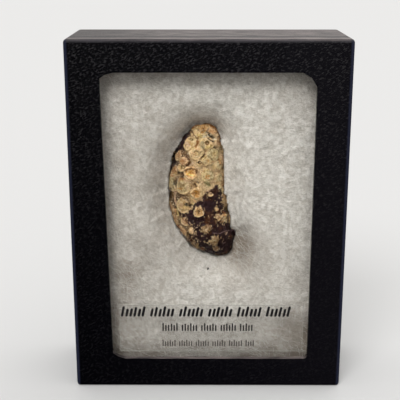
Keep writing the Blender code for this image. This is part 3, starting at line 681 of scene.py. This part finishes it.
def seen_place(x, z):
    """Slant and turn of the point of the cone's front that is seen at (x, z)."""
    slant, turn = np.meshgrid(np.radians(np.arange(-86, 87, 0.5)), np.radians(np.arange(-88, 89, 0.5)))
    points = body_point(slant, turn)
    miss = np.hypot(points[..., 0] - x, seen_height(points) - z)
    best = np.unravel_index(np.argmin(miss), miss.shape)
    return float(slant[best]), float(turn[best])


def angle_between(directions, centre):
    """Angle in radians from each unit direction to one."""
    return np.arccos(np.clip(directions @ centre, -1, 1))


def make_scales(round_map):
    """All scales: those seen in front first, then a spiral that fills the rest of the cone."""
    scales = []

    def add(slant, turn, radius, kind, tone):
        middle = body_point(np.array(slant), np.array(turn))
        dome, rim, rim_at, pit = SCALE_KINDS[kind]
        plate, fill = [surface_tone(colour) for colour in TONES[tone]]
        scales.append({"kind": kind, "tone": tone, "reach": radius / round_map.size_at(slant),
                       "x": middle[0] / MM, "z": float(seen_height(middle)) / MM,
                       "direction": round_map.direction(slant, turn),
                       "dome": dome, "rim": rim, "rim_at": rim_at, "pit": pit, "plate": plate, "fill": fill})

    for (kind, tone), places in SEEN_SCALES.items():
        for x, z, radius in places:
            add(*seen_place(x * MM, z * MM), radius * MM, kind, tone)
    seen = list(scales)
    for i in range(SPIRAL_SCALES):
        slant = round_map.slant_at_share((i + 0.5) / SPIRAL_SCALES)
        turn = i * GOLDEN_ANGLE
        direction = round_map.direction(slant, turn)
        reach = SPIRAL_RADIUS / round_map.size_at(slant)
        if all(angle_between(direction, s["direction"]) > CROWDING * (reach + s["reach"]) for s in seen):
            add(slant, turn, SPIRAL_RADIUS, "shield", SPIRAL_TONES[i % len(SPIRAL_TONES)])
    return scales


def line_distance(x, z, points):
    """Distance from each (x, z) to a line of (x, z) points."""
    nearest = np.full(len(x), np.inf)
    for (ax, az), (bx, bz) in zip(points, points[1:]):
        dx, dz = bx - ax, bz - az
        share = np.clip(((x - ax) * dx + (z - az) * dz) / (dx * dx + dz * dz + 1e-9), 0, 1)
        nearest = np.minimum(nearest, np.hypot(x - ax - share * dx, z - az - share * dz))
    return nearest


def outline_distance(x, z, outline):
    """Distance to an outline of (x, z) points, negative inside it."""
    closed = outline + outline[:1]
    inside = np.zeros(len(x), bool)
    for (ax, az), (bx, bz) in zip(closed, closed[1:]):
        if az != bz:
            inside ^= ((az > z) != (bz > z)) & (x < ax + (bx - ax) * (z - az) / (bz - az))
    away = line_distance(x, z, closed)
    return np.where(inside, -away, away)


def blend(a, b, share):
    """Colour of each point between a and b."""
    return a + (b - a) * share[:, None]


def smooth_step(value, low, high):
    """From 0 at low to 1 at high without corners."""
    t = np.clip((value - low) / (high - low), 0, 1)
    return t * t * (3 - 2 * t)


def surface_tone(colour):
    """Colour of the surface itself for a tone seen in the photograph."""
    return np.minimum(linear(colour) / FRONT_LIGHT * WARMTH, 0.9)


class ConeSkin:
    """Where each point of the cone lies: its scale, how deep in it, and how dark the stone is."""

    def __init__(self, points, normals, directions, scales):
        self.x = points[:, 0] / MM
        self.z = seen_height(points) / MM
        self.front = smooth_step(normals @ TO_EYE, -0.75, -0.55)
        self.broad = noise(points, 2.3 * MM, 11)
        self.fine = noise(points, 0.8 * MM, 23)
        self.tiny = noise(points, 0.4 * MM, 29, 2)
        self.patchy = noise(points, 1.3 * MM, 37, 2)
        self.tint = noise(points, 2.0 * MM, 83, 3)
        self.warm = noise(points, 1.6 * MM, 97, 3)
        self.smooth_side = smooth_step(self.x, -6.5, -3.0)
        self.scales = scales
        self.find_scales(directions)
        self.find_dark(points)
        self.find_marks()

    def of_scale(self, key):
        """Value of each point's own scale."""
        return np.array([scale[key] for scale in self.scales])[self.nearest]

    def find_scales(self, directions):
        """Each point's own scale, its distance to that scale's middle and to the next scale."""
        warp = 0.20 * self.broad + 0.13 * self.fine
        self.nearest = np.zeros(len(self.x), int)
        self.gap = np.full(len(self.x), 9.0)
        second = self.gap
        for i, scale in enumerate(self.scales):
            if scale["kind"] != "nick":
                gap = angle_between(directions, scale["direction"]) / scale["reach"]
                closer = gap < self.gap
                second = np.where(closer, self.gap, np.minimum(second, gap))
                self.nearest = np.where(closer, i, self.nearest)
                self.gap = np.where(closer, gap, self.gap)
        self.edge = second - self.gap + 0.8 * warp * np.clip(self.gap, 0, 1)
        self.gap = self.gap + warp
        across = self.x - self.of_scale("x")
        up = self.z - self.of_scale("z")
        self.lower_left = -(across + up) / (1.42 * np.hypot(across, up) + 0.05)
        kind, tone = self.of_scale("kind"), self.of_scale("tone")
        self.is_cup = kind == "cup"
        self.is_shield = kind == "shield"
        self.is_tan = tone == "tan"
        self.is_dark = tone == "dark"
        self.is_spot = self.is_cup | (kind == "knob") | self.is_tan

    def find_dark(self, points):
        """Share of bare dark stone, and of the pale crumbs left on it."""
        ragged = 0.55 * self.broad + 0.50 * self.fine + 0.3 * self.tiny
        outline = np.minimum(outline_distance(self.x, self.z, DARK_LOWER),
                             outline_distance(self.x, self.z, DARK_LEFT))
        in_front = 1 - smooth_step(outline + ragged, -0.2, 0.25)
        patches = noise(points, 9 * MM, 31, 2) + 0.35 * self.broad - 0.02 * (points[:, 2] / MM - 60)
        behind = smooth_step(patches, -0.05, 0.08)
        self.dark = in_front * self.front + behind * (1 - self.front)
        lower_left = smooth_step(-self.x - 0.5 * (self.z - 52), 0.0, 5.0) * smooth_step(self.z, 41.0, 47.0)
        near_crust = 0.55 * np.exp(-np.maximum(-outline, 0) / 0.8) + 0.85 * lower_left
        grains = noise(points, 0.62 * MM, 61, 3) + 0.25 * self.patchy
        self.crumbs = smooth_step(grains, 0.46 - 0.30 * near_crust, 0.56 - 0.30 * near_crust) * 0.85

    def find_marks(self):
        """Strength of each mark at each point, with slightly uneven edges."""
        x = self.x + 0.10 * self.fine + 0.05 * self.tiny
        z = self.z + 0.10 * np.roll(self.fine, 7) + 0.05 * self.tiny
        self.marks = []
        for tone, width, *places in MARKS:
            away = line_distance(x, z, list(zip(places[::2], places[1::2])))
            reach = width / 2 + (0.12 if tone in SUNK_MARKS else 0.05)
            self.marks.append((tone, (1 - smooth_step(away, 0.55 * reach, 1.15 * reach)) * self.front))


def paint_cone(skin):
    """Colour of each point, with painted shade on the left and at the base, and how much of it is pale crust.
    """
    left = smooth_step(-skin.x, 4.0, 7.5)
    rim_at = skin.of_scale("rim_at")
    browned = smooth_step(skin.patchy, 0.0, 0.5) * (0.75 - 0.5 * skin.smooth_side)
    colour = blend(surface_tone(CRUST_GROUND), surface_tone(CRUST_BROWN), browned)
    colour = blend(colour, skin.of_scale("plate"), 0.95 * (1 - smooth_step(skin.gap, 0.86, 1.06)))
    for tint, share in ((CRUST_PINK, smooth_step(skin.tint, 0.05, 0.45) * 0.55),
                        (CRUST_GREEN, smooth_step(-skin.tint, 0.05, 0.45) * 0.55 * skin.smooth_side),
                        (CRUST_YELLOW, smooth_step(skin.warm, 0.15, 0.5) * 0.45)):
        colour = blend(colour, surface_tone(tint), share)
    in_pit = 1 - smooth_step(skin.gap, 0.42 * rim_at, np.where(skin.is_cup, 1.0, 0.80) * rim_at)
    colour = blend(colour, skin.of_scale("fill"), in_pit * np.where(skin.is_cup, 0.9, 0.22))
    ring = np.exp(-((skin.gap - 0.86) / 0.14) ** 2) * smooth_step(skin.edge, 0.02, 0.14) * ~skin.is_dark
    # painted light: pale rims are laid on most strongly on each scale's lower left, where the light catches
    # them
    shield_rim_lit = np.clip(0.50 + 0.85 * skin.lower_left + 0.8 * skin.fine, 0, 1) * (1 - 0.55 * skin.smooth_side)
    rim_lit = np.where(skin.is_cup, np.clip(0.55 + 0.6 * skin.lower_left, 0.2, 1), shield_rim_lit)
    colour = blend(colour, surface_tone(RIM_COLOUR), ring * rim_lit)
    crack = np.maximum(np.exp(-((skin.gap - 1.07) / 0.09) ** 2), np.exp(-(skin.edge / 0.08) ** 2))
    crack = crack * smooth_step(skin.patchy - 0.6 * skin.lower_left + 0.3 * left, -0.2, 0.25)
    seam = blend(surface_tone(CREAM_GROOVE), surface_tone(MATRIX_BROWN), left)
    colour = blend(colour, seam, crack * (0.75 + 0.2 * left) * (1 - 0.45 * skin.smooth_side))
    open_gap = smooth_step(skin.gap + 0.25 * skin.patchy, 1.00, 1.15) * left
    colour = blend(colour, surface_tone(MATRIX_BROWN), 0.9 * open_gap)
    rusty = smooth_step(skin.broad + 0.4 * skin.fine, 0.1, 0.6)
    matrix = blend(surface_tone(MATRIX_COLOUR), surface_tone(MATRIX_BROWN), rusty)
    uneven = (0.45 * skin.fine + 0.35 * skin.tiny) * np.where(skin.is_tan, 1.0, 0.5)
    spot = (1 - smooth_step(skin.gap + uneven, 0.78, 0.92)) * skin.is_spot * ~skin.is_dark
    bare = skin.dark * (1 - spot) * (1 - skin.crumbs)
    colour = blend(colour, matrix, bare)
    crust = 1 - bare
    broken = np.clip(1.0 + 0.8 * skin.tiny, 0.3, 1)
    for tone, strength in skin.marks:
        raised = tone in RAISED_MARKS
        if raised:
            strength = strength * (0.30 + 0.70 * crust)
        colour = blend(colour, surface_tone(MARK_COLOURS[tone]), broken * strength)
        crust = np.maximum(crust, strength * raised)
    # painted shade: darker towards the left side and the base of the cone
    shade = 0.30 * smooth_step(-skin.x, 6.5, 10.5) + 0.45 * smooth_step(-skin.z, -49.0, -42.0)
    return colour * (1 - shade[:, None]), crust


def cone_relief(skin, directions, round_map):
    """Height over the smooth body: plates that meet in seams on the crust, knobs on the dark stone."""
    rim_at = skin.of_scale("rim_at")
    gap = skin.gap
    inside = 1 - smooth_step(gap, 0.92, 1.24)
    dome = skin.of_scale("dome") * np.where(skin.is_shield, 0.62, 1.0)
    plate = dome * (1 - 0.62 * np.clip(gap, 0, 1.2) ** 2) + GROOVE_DEPTH
    plate += skin.of_scale("rim") * np.exp(-((gap - rim_at) / 0.16) ** 2)
    plate -= 0.8 * skin.of_scale("pit") * np.exp(-(gap / (0.55 * rim_at)) ** 2)
    plate += 0.20 * MM * np.exp(-((gap - 0.86) / 0.12) ** 2) * skin.is_shield * (0.6 + 0.8 * skin.fine)
    plate -= 0.6 * GROOVE_DEPTH * np.exp(-(skin.edge / 0.12) ** 2)
    height = plate * inside - GROOVE_DEPTH + BODY_LIFT
    knob = 1 - smooth_step(gap, 0.78, 0.98)
    bare = BODY_LIFT - 0.35 * GROOVE_DEPTH + 0.16 * MM * skin.broad + 0.12 * MM * skin.fine
    bare += 0.45 * dome * inside * ~skin.is_spot + 0.12 * MM * skin.crumbs
    raised = bare + (height + GROOVE_DEPTH * 0.6 - bare) * knob * skin.is_spot
    height = height * (1 - skin.dark) + raised * skin.dark
    for scale in skin.scales:
        if scale["kind"] == "nick":
            away = angle_between(directions, scale["direction"]) / scale["reach"] + 0.2 * skin.fine
            height -= 0.6 * scale["pit"] * (1 - smooth_step(away, 0.45, 1.0))
    for tone, strength in skin.marks:
        height -= 0.16 * MM * strength * (tone in SUNK_MARKS)
        height += 0.10 * MM * strength * (tone in RAISED_MARKS)
    x, z, radius, rise = (value * MM for value in BASE_LIP)
    slant, turn = seen_place(x, z)
    away = angle_between(directions, round_map.direction(slant, turn)) * round_map.size_at(slant) / radius
    return height + rise * np.exp(-away ** 4)


def make_cone(mat):
    """The fossil: the smooth bent body with every scale raised on it."""
    round_map = RoundMap()
    limit = math.radians(89.3)
    table = np.linspace(-limit, limit, 4001)
    place = body_point(table, np.zeros_like(table))
    run = np.concatenate([[0], np.cumsum(np.linalg.norm(np.diff(place, axis=0), axis=1))])
    rows = np.interp(np.linspace(0, run[-1], CONE_ROWS), run, table)
    columns = np.linspace(-math.pi, math.pi, CONE_COLUMNS, endpoint=False)
    columns = columns - FINER_IN_FRONT * np.sin(columns)
    slant, turn = [a.ravel() for a in np.meshgrid(rows, columns, indexing="ij")]
    smooth = body_point(slant, turn)
    directions = round_map.direction(slant, turn)
    normals = body_normal(slant, turn)
    skin = ConeSkin(smooth, normals, directions, make_scales(round_map))
    height = cone_relief(skin, directions, round_map)
    rough = 0.11 * MM * noise(smooth, 1.1 * MM, 41, 4) + 0.09 * MM * noise(smooth, 0.40 * MM, 47, 2)
    points = smooth + (height + rough)[:, None] * normals
    points[:, 1] += CONE_LOW.y - points[:, 1].min()
    colour, crust = paint_cone(skin)
    faces = tube_faces(CONE_ROWS, CONE_COLUMNS)
    cone = mesh_object("fossil_cone", points, faces, mat, tone=colour, crust=crust)
    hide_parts("cone")
    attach(cone, "root")
    return points


def make_batting(mat, cone_points):
    """Pad of fibre: a pillow under the glass with a soft hollow round the cone."""
    x = np.arange(BATTING_LOW.x, BATTING_HIGH.x + BATTING_CELL / 2, BATTING_CELL)
    z = np.arange(BATTING_LOW.z, BATTING_HIGH.z + BATTING_CELL / 2, BATTING_CELL)
    gx, gz = [a.ravel() for a in np.meshgrid(x, z)]
    front = np.stack([gx, batting_front(gx, gz, cone_points), gz], axis=1)
    index = np.arange(len(front)).reshape(len(z), len(x))
    border = np.concatenate([index[0], index[1:, -1], index[-1, -2::-1], index[-2:0:-1, 0]]).tolist()
    behind = front[border]
    behind[:, 1] = BATTING_HIGH.y
    # painted shade of the frame and of the cone, with dust, kept in the mesh
    soil = batting_soil(gx, gz) + hollow_soil(gx, gz, cone_points)
    soil = np.concatenate([soil, np.full(len(border), 0.5)])
    faces = grid_faces(len(z), len(x))
    count = len(front)
    for n in range(len(border)):
        after = (n + 1) % len(border)
        faces.append((border[n], count + n, count + after, border[after]))
    faces.append(tuple(count + n for n in reversed(range(len(border)))))
    batting = mesh_object("fibre_batting", np.vstack([front, behind]), faces, mat, soil=soil)
    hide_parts("batting")
    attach(batting, "root")


def on_plane(x, z):
    """Points of the plane y = 0, for noise that only depends on x and z."""
    return np.stack([x, np.zeros_like(x), z], axis=1)


def batting_soil(x, z):
    """Painted shade and dust in the fibre: along the border under the lid's frame, most at the top and foot,
    and towards the lower left.
    """
    def along(distance, amount, fade=2.2 * MM):
        return amount * np.exp(-np.maximum(distance - 6 * MM, 0) / fade)

    # painted shade along the border under the lid's frame, strongest at the top and foot
    border = np.maximum.reduce([along(BATTING_HIGH.x - x, 0.16), along(z - BATTING_LOW.z, 0.62, 5.0 * MM),
                                along(BATTING_HIGH.z - z, 0.42)])
    across = (x - BATTING_LOW.x) / (BATTING_HIGH.x - BATTING_LOW.x)
    up = (z - BATTING_LOW.z) / (BATTING_HIGH.z - BATTING_LOW.z)
    broad = 0.34 * smooth_step(1 - across, 0.55, 1.0) + 0.20 * np.exp(-((up - 0.36) / 0.11) ** 2)
    broad *= smooth_step(across, 0.04, 0.12)
    for at_x, at_z, radius, amount in DUST_AND_SHADE_SPOTS:
        broad += amount * np.exp(-((x / MM - at_x) ** 2 + (z / MM - at_z) ** 2) / radius ** 2)
    patchy = np.clip(0.9 + 0.6 * noise(on_plane(x, z), 6 * MM, 71), 0, 1.3)
    return np.clip((border + broad) * patchy, 0, 0.85)


def hollow_soil(x, z, cone_points):
    """Painted shadow of the cone in the hollow round it: on its left, over its tip and beside its base."""
    gap, _, outward = cone_under(x, z, cone_points)
    leftward = np.clip(-0.85 * outward[:, 0] + 0.55 * outward[:, 1] + 0.15, 0, 1)
    by_base = np.exp(-(np.hypot(x - 10.5 * MM, z - 45.5 * MM) / (5.5 * MM)) ** 2)
    return 0.48 * leftward * np.exp(-(gap / (3.6 * MM)) ** 1.3) + 0.75 * by_base


def batting_front(x, z, cone_points):
    """Depth of the batting's front at each (x, z)."""
    flat = on_plane(x, z)
    inset = np.minimum.reduce([x - BATTING_LOW.x, BATTING_HIGH.x - x, z - BATTING_LOW.z, BATTING_HIGH.z - z])
    edge = BATTING_EDGE_FALL * np.exp(-(inset / BATTING_EDGE_WIDTH) ** 2)
    pillow = PANE_HIGH.y + BATTING_BELOW_GLASS + edge
    gap, depth, _ = cone_under(x, z, cone_points)
    moat = MOAT_DEPTH * np.exp(-(gap / MOAT_WIDTH) ** 2) * (1 - 0.12 * smooth_step(x, 2 * MM, 5 * MM))
    moat += TIP_HOLLOW * np.exp(-(gap / TIP_HOLLOW_WIDTH) ** 2) * smooth_step(z, 74 * MM, 80 * MM)
    lumps = 0.22 * MM * (1 + noise(flat, 12 * MM, 53, 2)) + 0.20 * MM * (1 + noise(flat, 1.5 * MM, 59, 3))
    return np.maximum(pillow + moat + lumps, depth)


def cone_under(x, z, cone_points):
    """Distance from each (x, z) to the cone's outline, depth of the cone's back there, and the way out."""
    cell = 0.35 * MM
    low_x, low_z = cone_points[:, 0].min() - 2 * cell, cone_points[:, 2].min() - 2 * cell
    columns = ((cone_points[:, 0] - low_x) / cell).astype(int)
    rows = ((cone_points[:, 2] - low_z) / cell).astype(int)
    back = np.full((columns.max() + 3, rows.max() + 3), -1.0)
    np.maximum.at(back, (columns, rows), cone_points[:, 1])
    i, j = np.nonzero(back > -1.0)
    cells = np.stack([low_x + (i + 0.5) * cell, low_z + (j + 0.5) * cell], axis=1)
    gap = np.full(len(x), np.inf)
    nearest = np.zeros(len(x), int)
    for start in range(0, len(x), 2000):
        part = slice(start, start + 2000)
        away = np.hypot(x[part, None] - cells[None, :, 0], z[part, None] - cells[None, :, 1])
        nearest[part] = away.argmin(axis=1)
        gap[part] = away.min(axis=1)
    outward = (np.stack([x, z], axis=1) - cells[nearest]) / (gap[:, None] + 0.5 * cell)
    well_inside = back > -1.0
    for axis in (0, 1):
        for shift in (-1, 1):
            well_inside = well_inside & (np.roll(back, shift, axis) > -1.0)
    back = np.where(well_inside, back + POCKET_GAP, -1.0)
    at_x = np.clip(((x - low_x) / cell).astype(int), 0, back.shape[0] - 1)
    at_z = np.clip(((z - low_z) / cell).astype(int), 0, back.shape[1] - 1)
    return gap, back[at_x, at_z], outward


def make_label(film, edge, inks):
    """Clear film with rows of plain strokes in place of its printed lines."""
    low, high = LABEL_LOW, LABEL_HIGH
    bm = bmesh.new()
    bmesh.ops.create_cube(bm, size=1.0)
    for vert in bm.verts:
        vert.co = Vector([low[k] + (vert.co[k] + 0.5) * (high[k] - low[k]) for k in range(3)])
    upright = [e for e in bm.edges if abs(e.verts[0].co.y - e.verts[1].co.y) > 1e-6]
    bmesh.ops.bevel(bm, geom=upright, offset=0.6 * MM, segments=4, profile=0.5, affect="EDGES")
    bm.normal_update()
    for face in bm.faces:
        face.material_index = 0 if abs(face.normal.y) > 0.5 else 1
    label = bmesh_object("clear_label", bm, film, edge)
    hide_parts("label")
    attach(label, "root")
    for ink, (name, up, height, thick, pitch, left, right, slant) in zip(inks, STROKE_ROWS):
        strokes = []
        for n in range(int((right - left) / pitch)):
            if n % STROKE_GROUP < STROKE_GROUP - 1:
                x = (left + (n + 0.5) * pitch) * MM
                foot = low.z + (up - height / 2) * MM
                tall = STROKE_HEIGHTS[n % len(STROKE_HEIGHTS)] * height * MM
                lean = slant * tall / 2
                strokes.append(((x - lean, foot), (x + lean, foot + tall), thick * MM))
        stroke_piece(name, ink, strokes, low.y)
    inset = 0.15 * MM
    corners = [(low.x + inset, low.z + inset), (high.x - inset, low.z + inset),
               (high.x - inset, high.z - inset), (low.x + inset, high.z - inset)]
    rim = [(a, b, 0.10 * MM) for a, b in zip(corners, corners[1:] + corners[:1])]
    rim.append((corners[0], corners[1], 0.22 * MM))
    rim += [((x, low.z), (x + 0.5 * MM, low.z + 0.7 * MM), 0.18 * MM) for x in (-25.1 * MM, -24.7 * MM)]
    stroke_piece("label_rim", edge, rim, low.y)


def stroke_piece(name, ink, strokes, front):
    """One piece from flat strokes, each from one (x, z) to another with a thickness."""
    bm = bmesh.new()
    for start, end, thick in strokes:
        add_stroke(bm, start, end, thick, front)
    piece = bmesh_object(name, bm, ink)
    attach(piece, "root")


def add_stroke(bm, start, end, thick, front):
    """Flat stroke with round ends from one (x, z) to another, just proud of the film."""
    heading = math.atan2(end[1] - start[1], end[0] - start[0])
    ring = []
    for centre, first in ((end, -90), (start, 90)):
        for step in range(7):
            a = heading + math.radians(first + 30 * step)
            ring.append((centre[0] + thick / 2 * math.cos(a), centre[1] + thick / 2 * math.sin(a)))
    near = [bm.verts.new((x, front - 0.03 * MM, z)) for x, z in ring]
    far = [bm.verts.new((x, front - 0.005 * MM, z)) for x, z in ring]
    bm.faces.new(near)
    bm.faces.new(list(reversed(far)))
    for n in range(len(ring)):
        after = (n + 1) % len(ring)
        bm.faces.new([near[after], near[n], far[n], far[after]])


def make_fibres(mat, cone_points):
    """Loose single fibres on the batting, as one joined mesh of thin tubes."""
    rng = np.random.default_rng(8)
    low = np.array([BATTING_LOW.x + 1 * MM, BATTING_LOW.z + 1 * MM])
    high = np.array([BATTING_HIGH.x - 1 * MM, BATTING_HIGH.z - 1 * MM])
    start = low + rng.random((FIBRES, 2)) * (high - low)
    heading = rng.normal(0.0, 0.9, FIBRES)
    bend = rng.normal(0.0, 0.35, FIBRES)
    wiggle = rng.normal(0.0, 0.45, (FIBRES, FIBRE_STEPS))
    length = rng.uniform(4, 13, FIBRES) * MM
    lift = rng.uniform(-0.1, 0.35, FIBRES) * MM
    path = np.zeros((FIBRES, FIBRE_STEPS, 2))
    path[:, 0] = start
    for k in range(1, FIBRE_STEPS):
        heading = heading + bend * 0.5 + wiggle[:, k] * 0.5
        step = length / (FIBRE_STEPS - 1)
        path[:, k, 0] = path[:, k - 1, 0] + step * np.cos(heading)
        path[:, k, 1] = path[:, k - 1, 1] + step * np.sin(heading)
    path = np.clip(path, low, high)
    flat = path.reshape(-1, 2)
    depth = batting_front(flat[:, 0], flat[:, 1], cone_points)
    arch = np.sin(np.linspace(0, math.pi, FIBRE_STEPS))[None, :] * lift[:, None] + 0.05 * MM
    centre = np.stack([flat[:, 0], depth - arch.ravel(), flat[:, 1]], axis=1)
    centre[:, 1] = np.maximum(centre[:, 1], PANE_HIGH.y + 0.1 * MM)
    angles = 2 * math.pi * np.arange(FIBRE_SIDES) / FIBRE_SIDES
    ring = FIBRE_RADIUS * np.stack([np.sin(angles), np.cos(angles), np.sin(angles)], axis=1)
    points = (centre[:, None] + ring[None]).reshape(-1, 3)
    tube = tube_faces(FIBRE_STEPS, FIBRE_SIDES)
    faces = [tuple(first + i for i in face)
             for first in range(0, len(points), FIBRE_STEPS * FIBRE_SIDES) for face in tube]
    fibres = mesh_object("loose_fibres", points, faces, mat, soil=np.zeros(len(points)))
    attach(fibres, "root")


def make_crumb(mat, cone_points):
    """Tiny dark crumb of the stone that lies on the batting."""
    bm = bmesh.new()
    bmesh.ops.create_icosphere(bm, subdivisions=3, radius=0.5)
    points = np.array([v.co for v in bm.verts])
    shaped = points * (1 + 0.28 * noise(points, 0.45, 91)[:, None]) * CRUMB_SIZE
    lean = Matrix.Rotation(math.radians(18), 3, "Y")
    x, z = [np.array([value]) for value in CRUMB_PLACE]
    y = float(batting_front(x, z, cone_points)[0]) - 0.15 * MM
    for vert, p in zip(bm.verts, shaped):
        vert.co = lean @ Vector(p) + Vector((x[0], y, z[0]))
    crumb = bmesh_object("dark_crumb", bm, mat)
    crumb.data.shade_smooth()
    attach(crumb, "root")


def make_stage():
    """Pale floor, dark where it is mirrored in the glass, soft lights and the camera."""
    n = Nodes("pale_floor")
    pale = n.add("BsdfDiffuse", {"Color": (0.75, 0.75, 0.75)}).outputs[0]
    dark = n.add("BsdfDiffuse", {"Color": (0.0, 0.0, 0.0)}).outputs[0]
    path = n.add("LightPath").outputs
    before_diffuse = n.minus(1.0, n.maths("MINIMUM", path["Diffuse Depth"], 1.0))
    material = n.finish(n.mix_shaders(n.times(path["Is Glossy Ray"], before_diffuse), pale, dark))
    half = 6.0
    corners = [(-half, -half, 0), (half, -half, 0), (half, half, 0), (-half, half, 0)]
    floor = mesh_object("floor", corners, [(0, 1, 2, 3)], material, smooth=False)
    floor.visible_glossy = False
    make_world()
    add_sun("soft_key", down=46, right=-20, energy=1.25, softness=30)
    make_camera()


def make_world():
    """Bright room above and behind, dim below and on the camera's side; pale where it is seen directly."""
    world = bpy.data.worlds.new("studio")
    bpy.context.scene.world = world
    n = Nodes("studio", world)
    x, y, z = n.parts(n.add("TexCoord").outputs["Generated"])
    above = n.ramp(z, -0.02, 0.05)
    behind = n.ramp(y, -0.5, 0.4, 0.62, 1.0)
    from_right = n.ramp(x, -0.5, 0.5, 0.85, 1.15)
    strength = n.plus(n.times(above, behind, from_right), 0.01)
    light = n.add("Background", {"Color": (1.0, 0.99, 0.97), "Strength": strength}).outputs[0]
    seen = n.add("Background", {"Color": (0.86, 0.86, 0.86), "Strength": 1.0}).outputs[0]
    camera = n.add("LightPath").outputs["Is Camera Ray"]
    n.add("OutputWorld", {"Surface": n.mix_shaders(camera, light, seen)})


def add_sun(name, down, right, energy, softness):
    """Sun lamp that shines downwards and to the right by the given degrees."""
    light = bpy.data.lights.new(name, "SUN")
    light.energy = energy
    light.angle = math.radians(softness)
    lamp = in_scene(name, light)
    lamp.rotation_euler = (math.radians(90 - down), 0.0, math.radians(right))


def make_camera():
    """Camera from which the photograph was taken."""
    data = bpy.data.cameras.new("camera")
    data.sensor_width = SENSOR
    data.lens = SENSOR * FOCAL_PIXELS / IMAGE_SIZE
    data.clip_start = 0.01
    data.clip_end = 50.0
    camera = in_scene("camera", data)
    camera.location = CAMERA_PLACE
    camera.rotation_euler = (math.pi / 2 - CAMERA_DOWN, 0.0, CAMERA_LEFT)
    bpy.context.scene.camera = camera


def dress(node, mat):
    """Give a node of the model its finish."""
    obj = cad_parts[node]
    obj.data.materials.clear()
    obj.data.materials.append(mat)


def main():
    """Dress the model's pieces and put the finer ones in the place of the plain ones."""
    bpy.context.scene.view_settings.view_transform = "Standard"
    dress("lid", leatherette())
    dress("tray", plain_board())
    dress("window_pane", clear_glass())
    stone = fossil_stone()
    cone_points = make_cone(stone)
    make_batting(batting_fibre("batting", (250, 244, 239), (200, 192, 184)), cone_points)
    make_fibres(batting_fibre("fibre", (250, 248, 242), (236, 230, 222)), cone_points)
    make_crumb(stone, cone_points)
    inks = [printed_line("bold_ink", (16, 14, 18)), printed_line("plain_ink", (40, 38, 38)),
            printed_line("grey_ink", (74, 68, 64))]
    make_label(label_film(), film_edge(), inks)
    make_stage()


main()
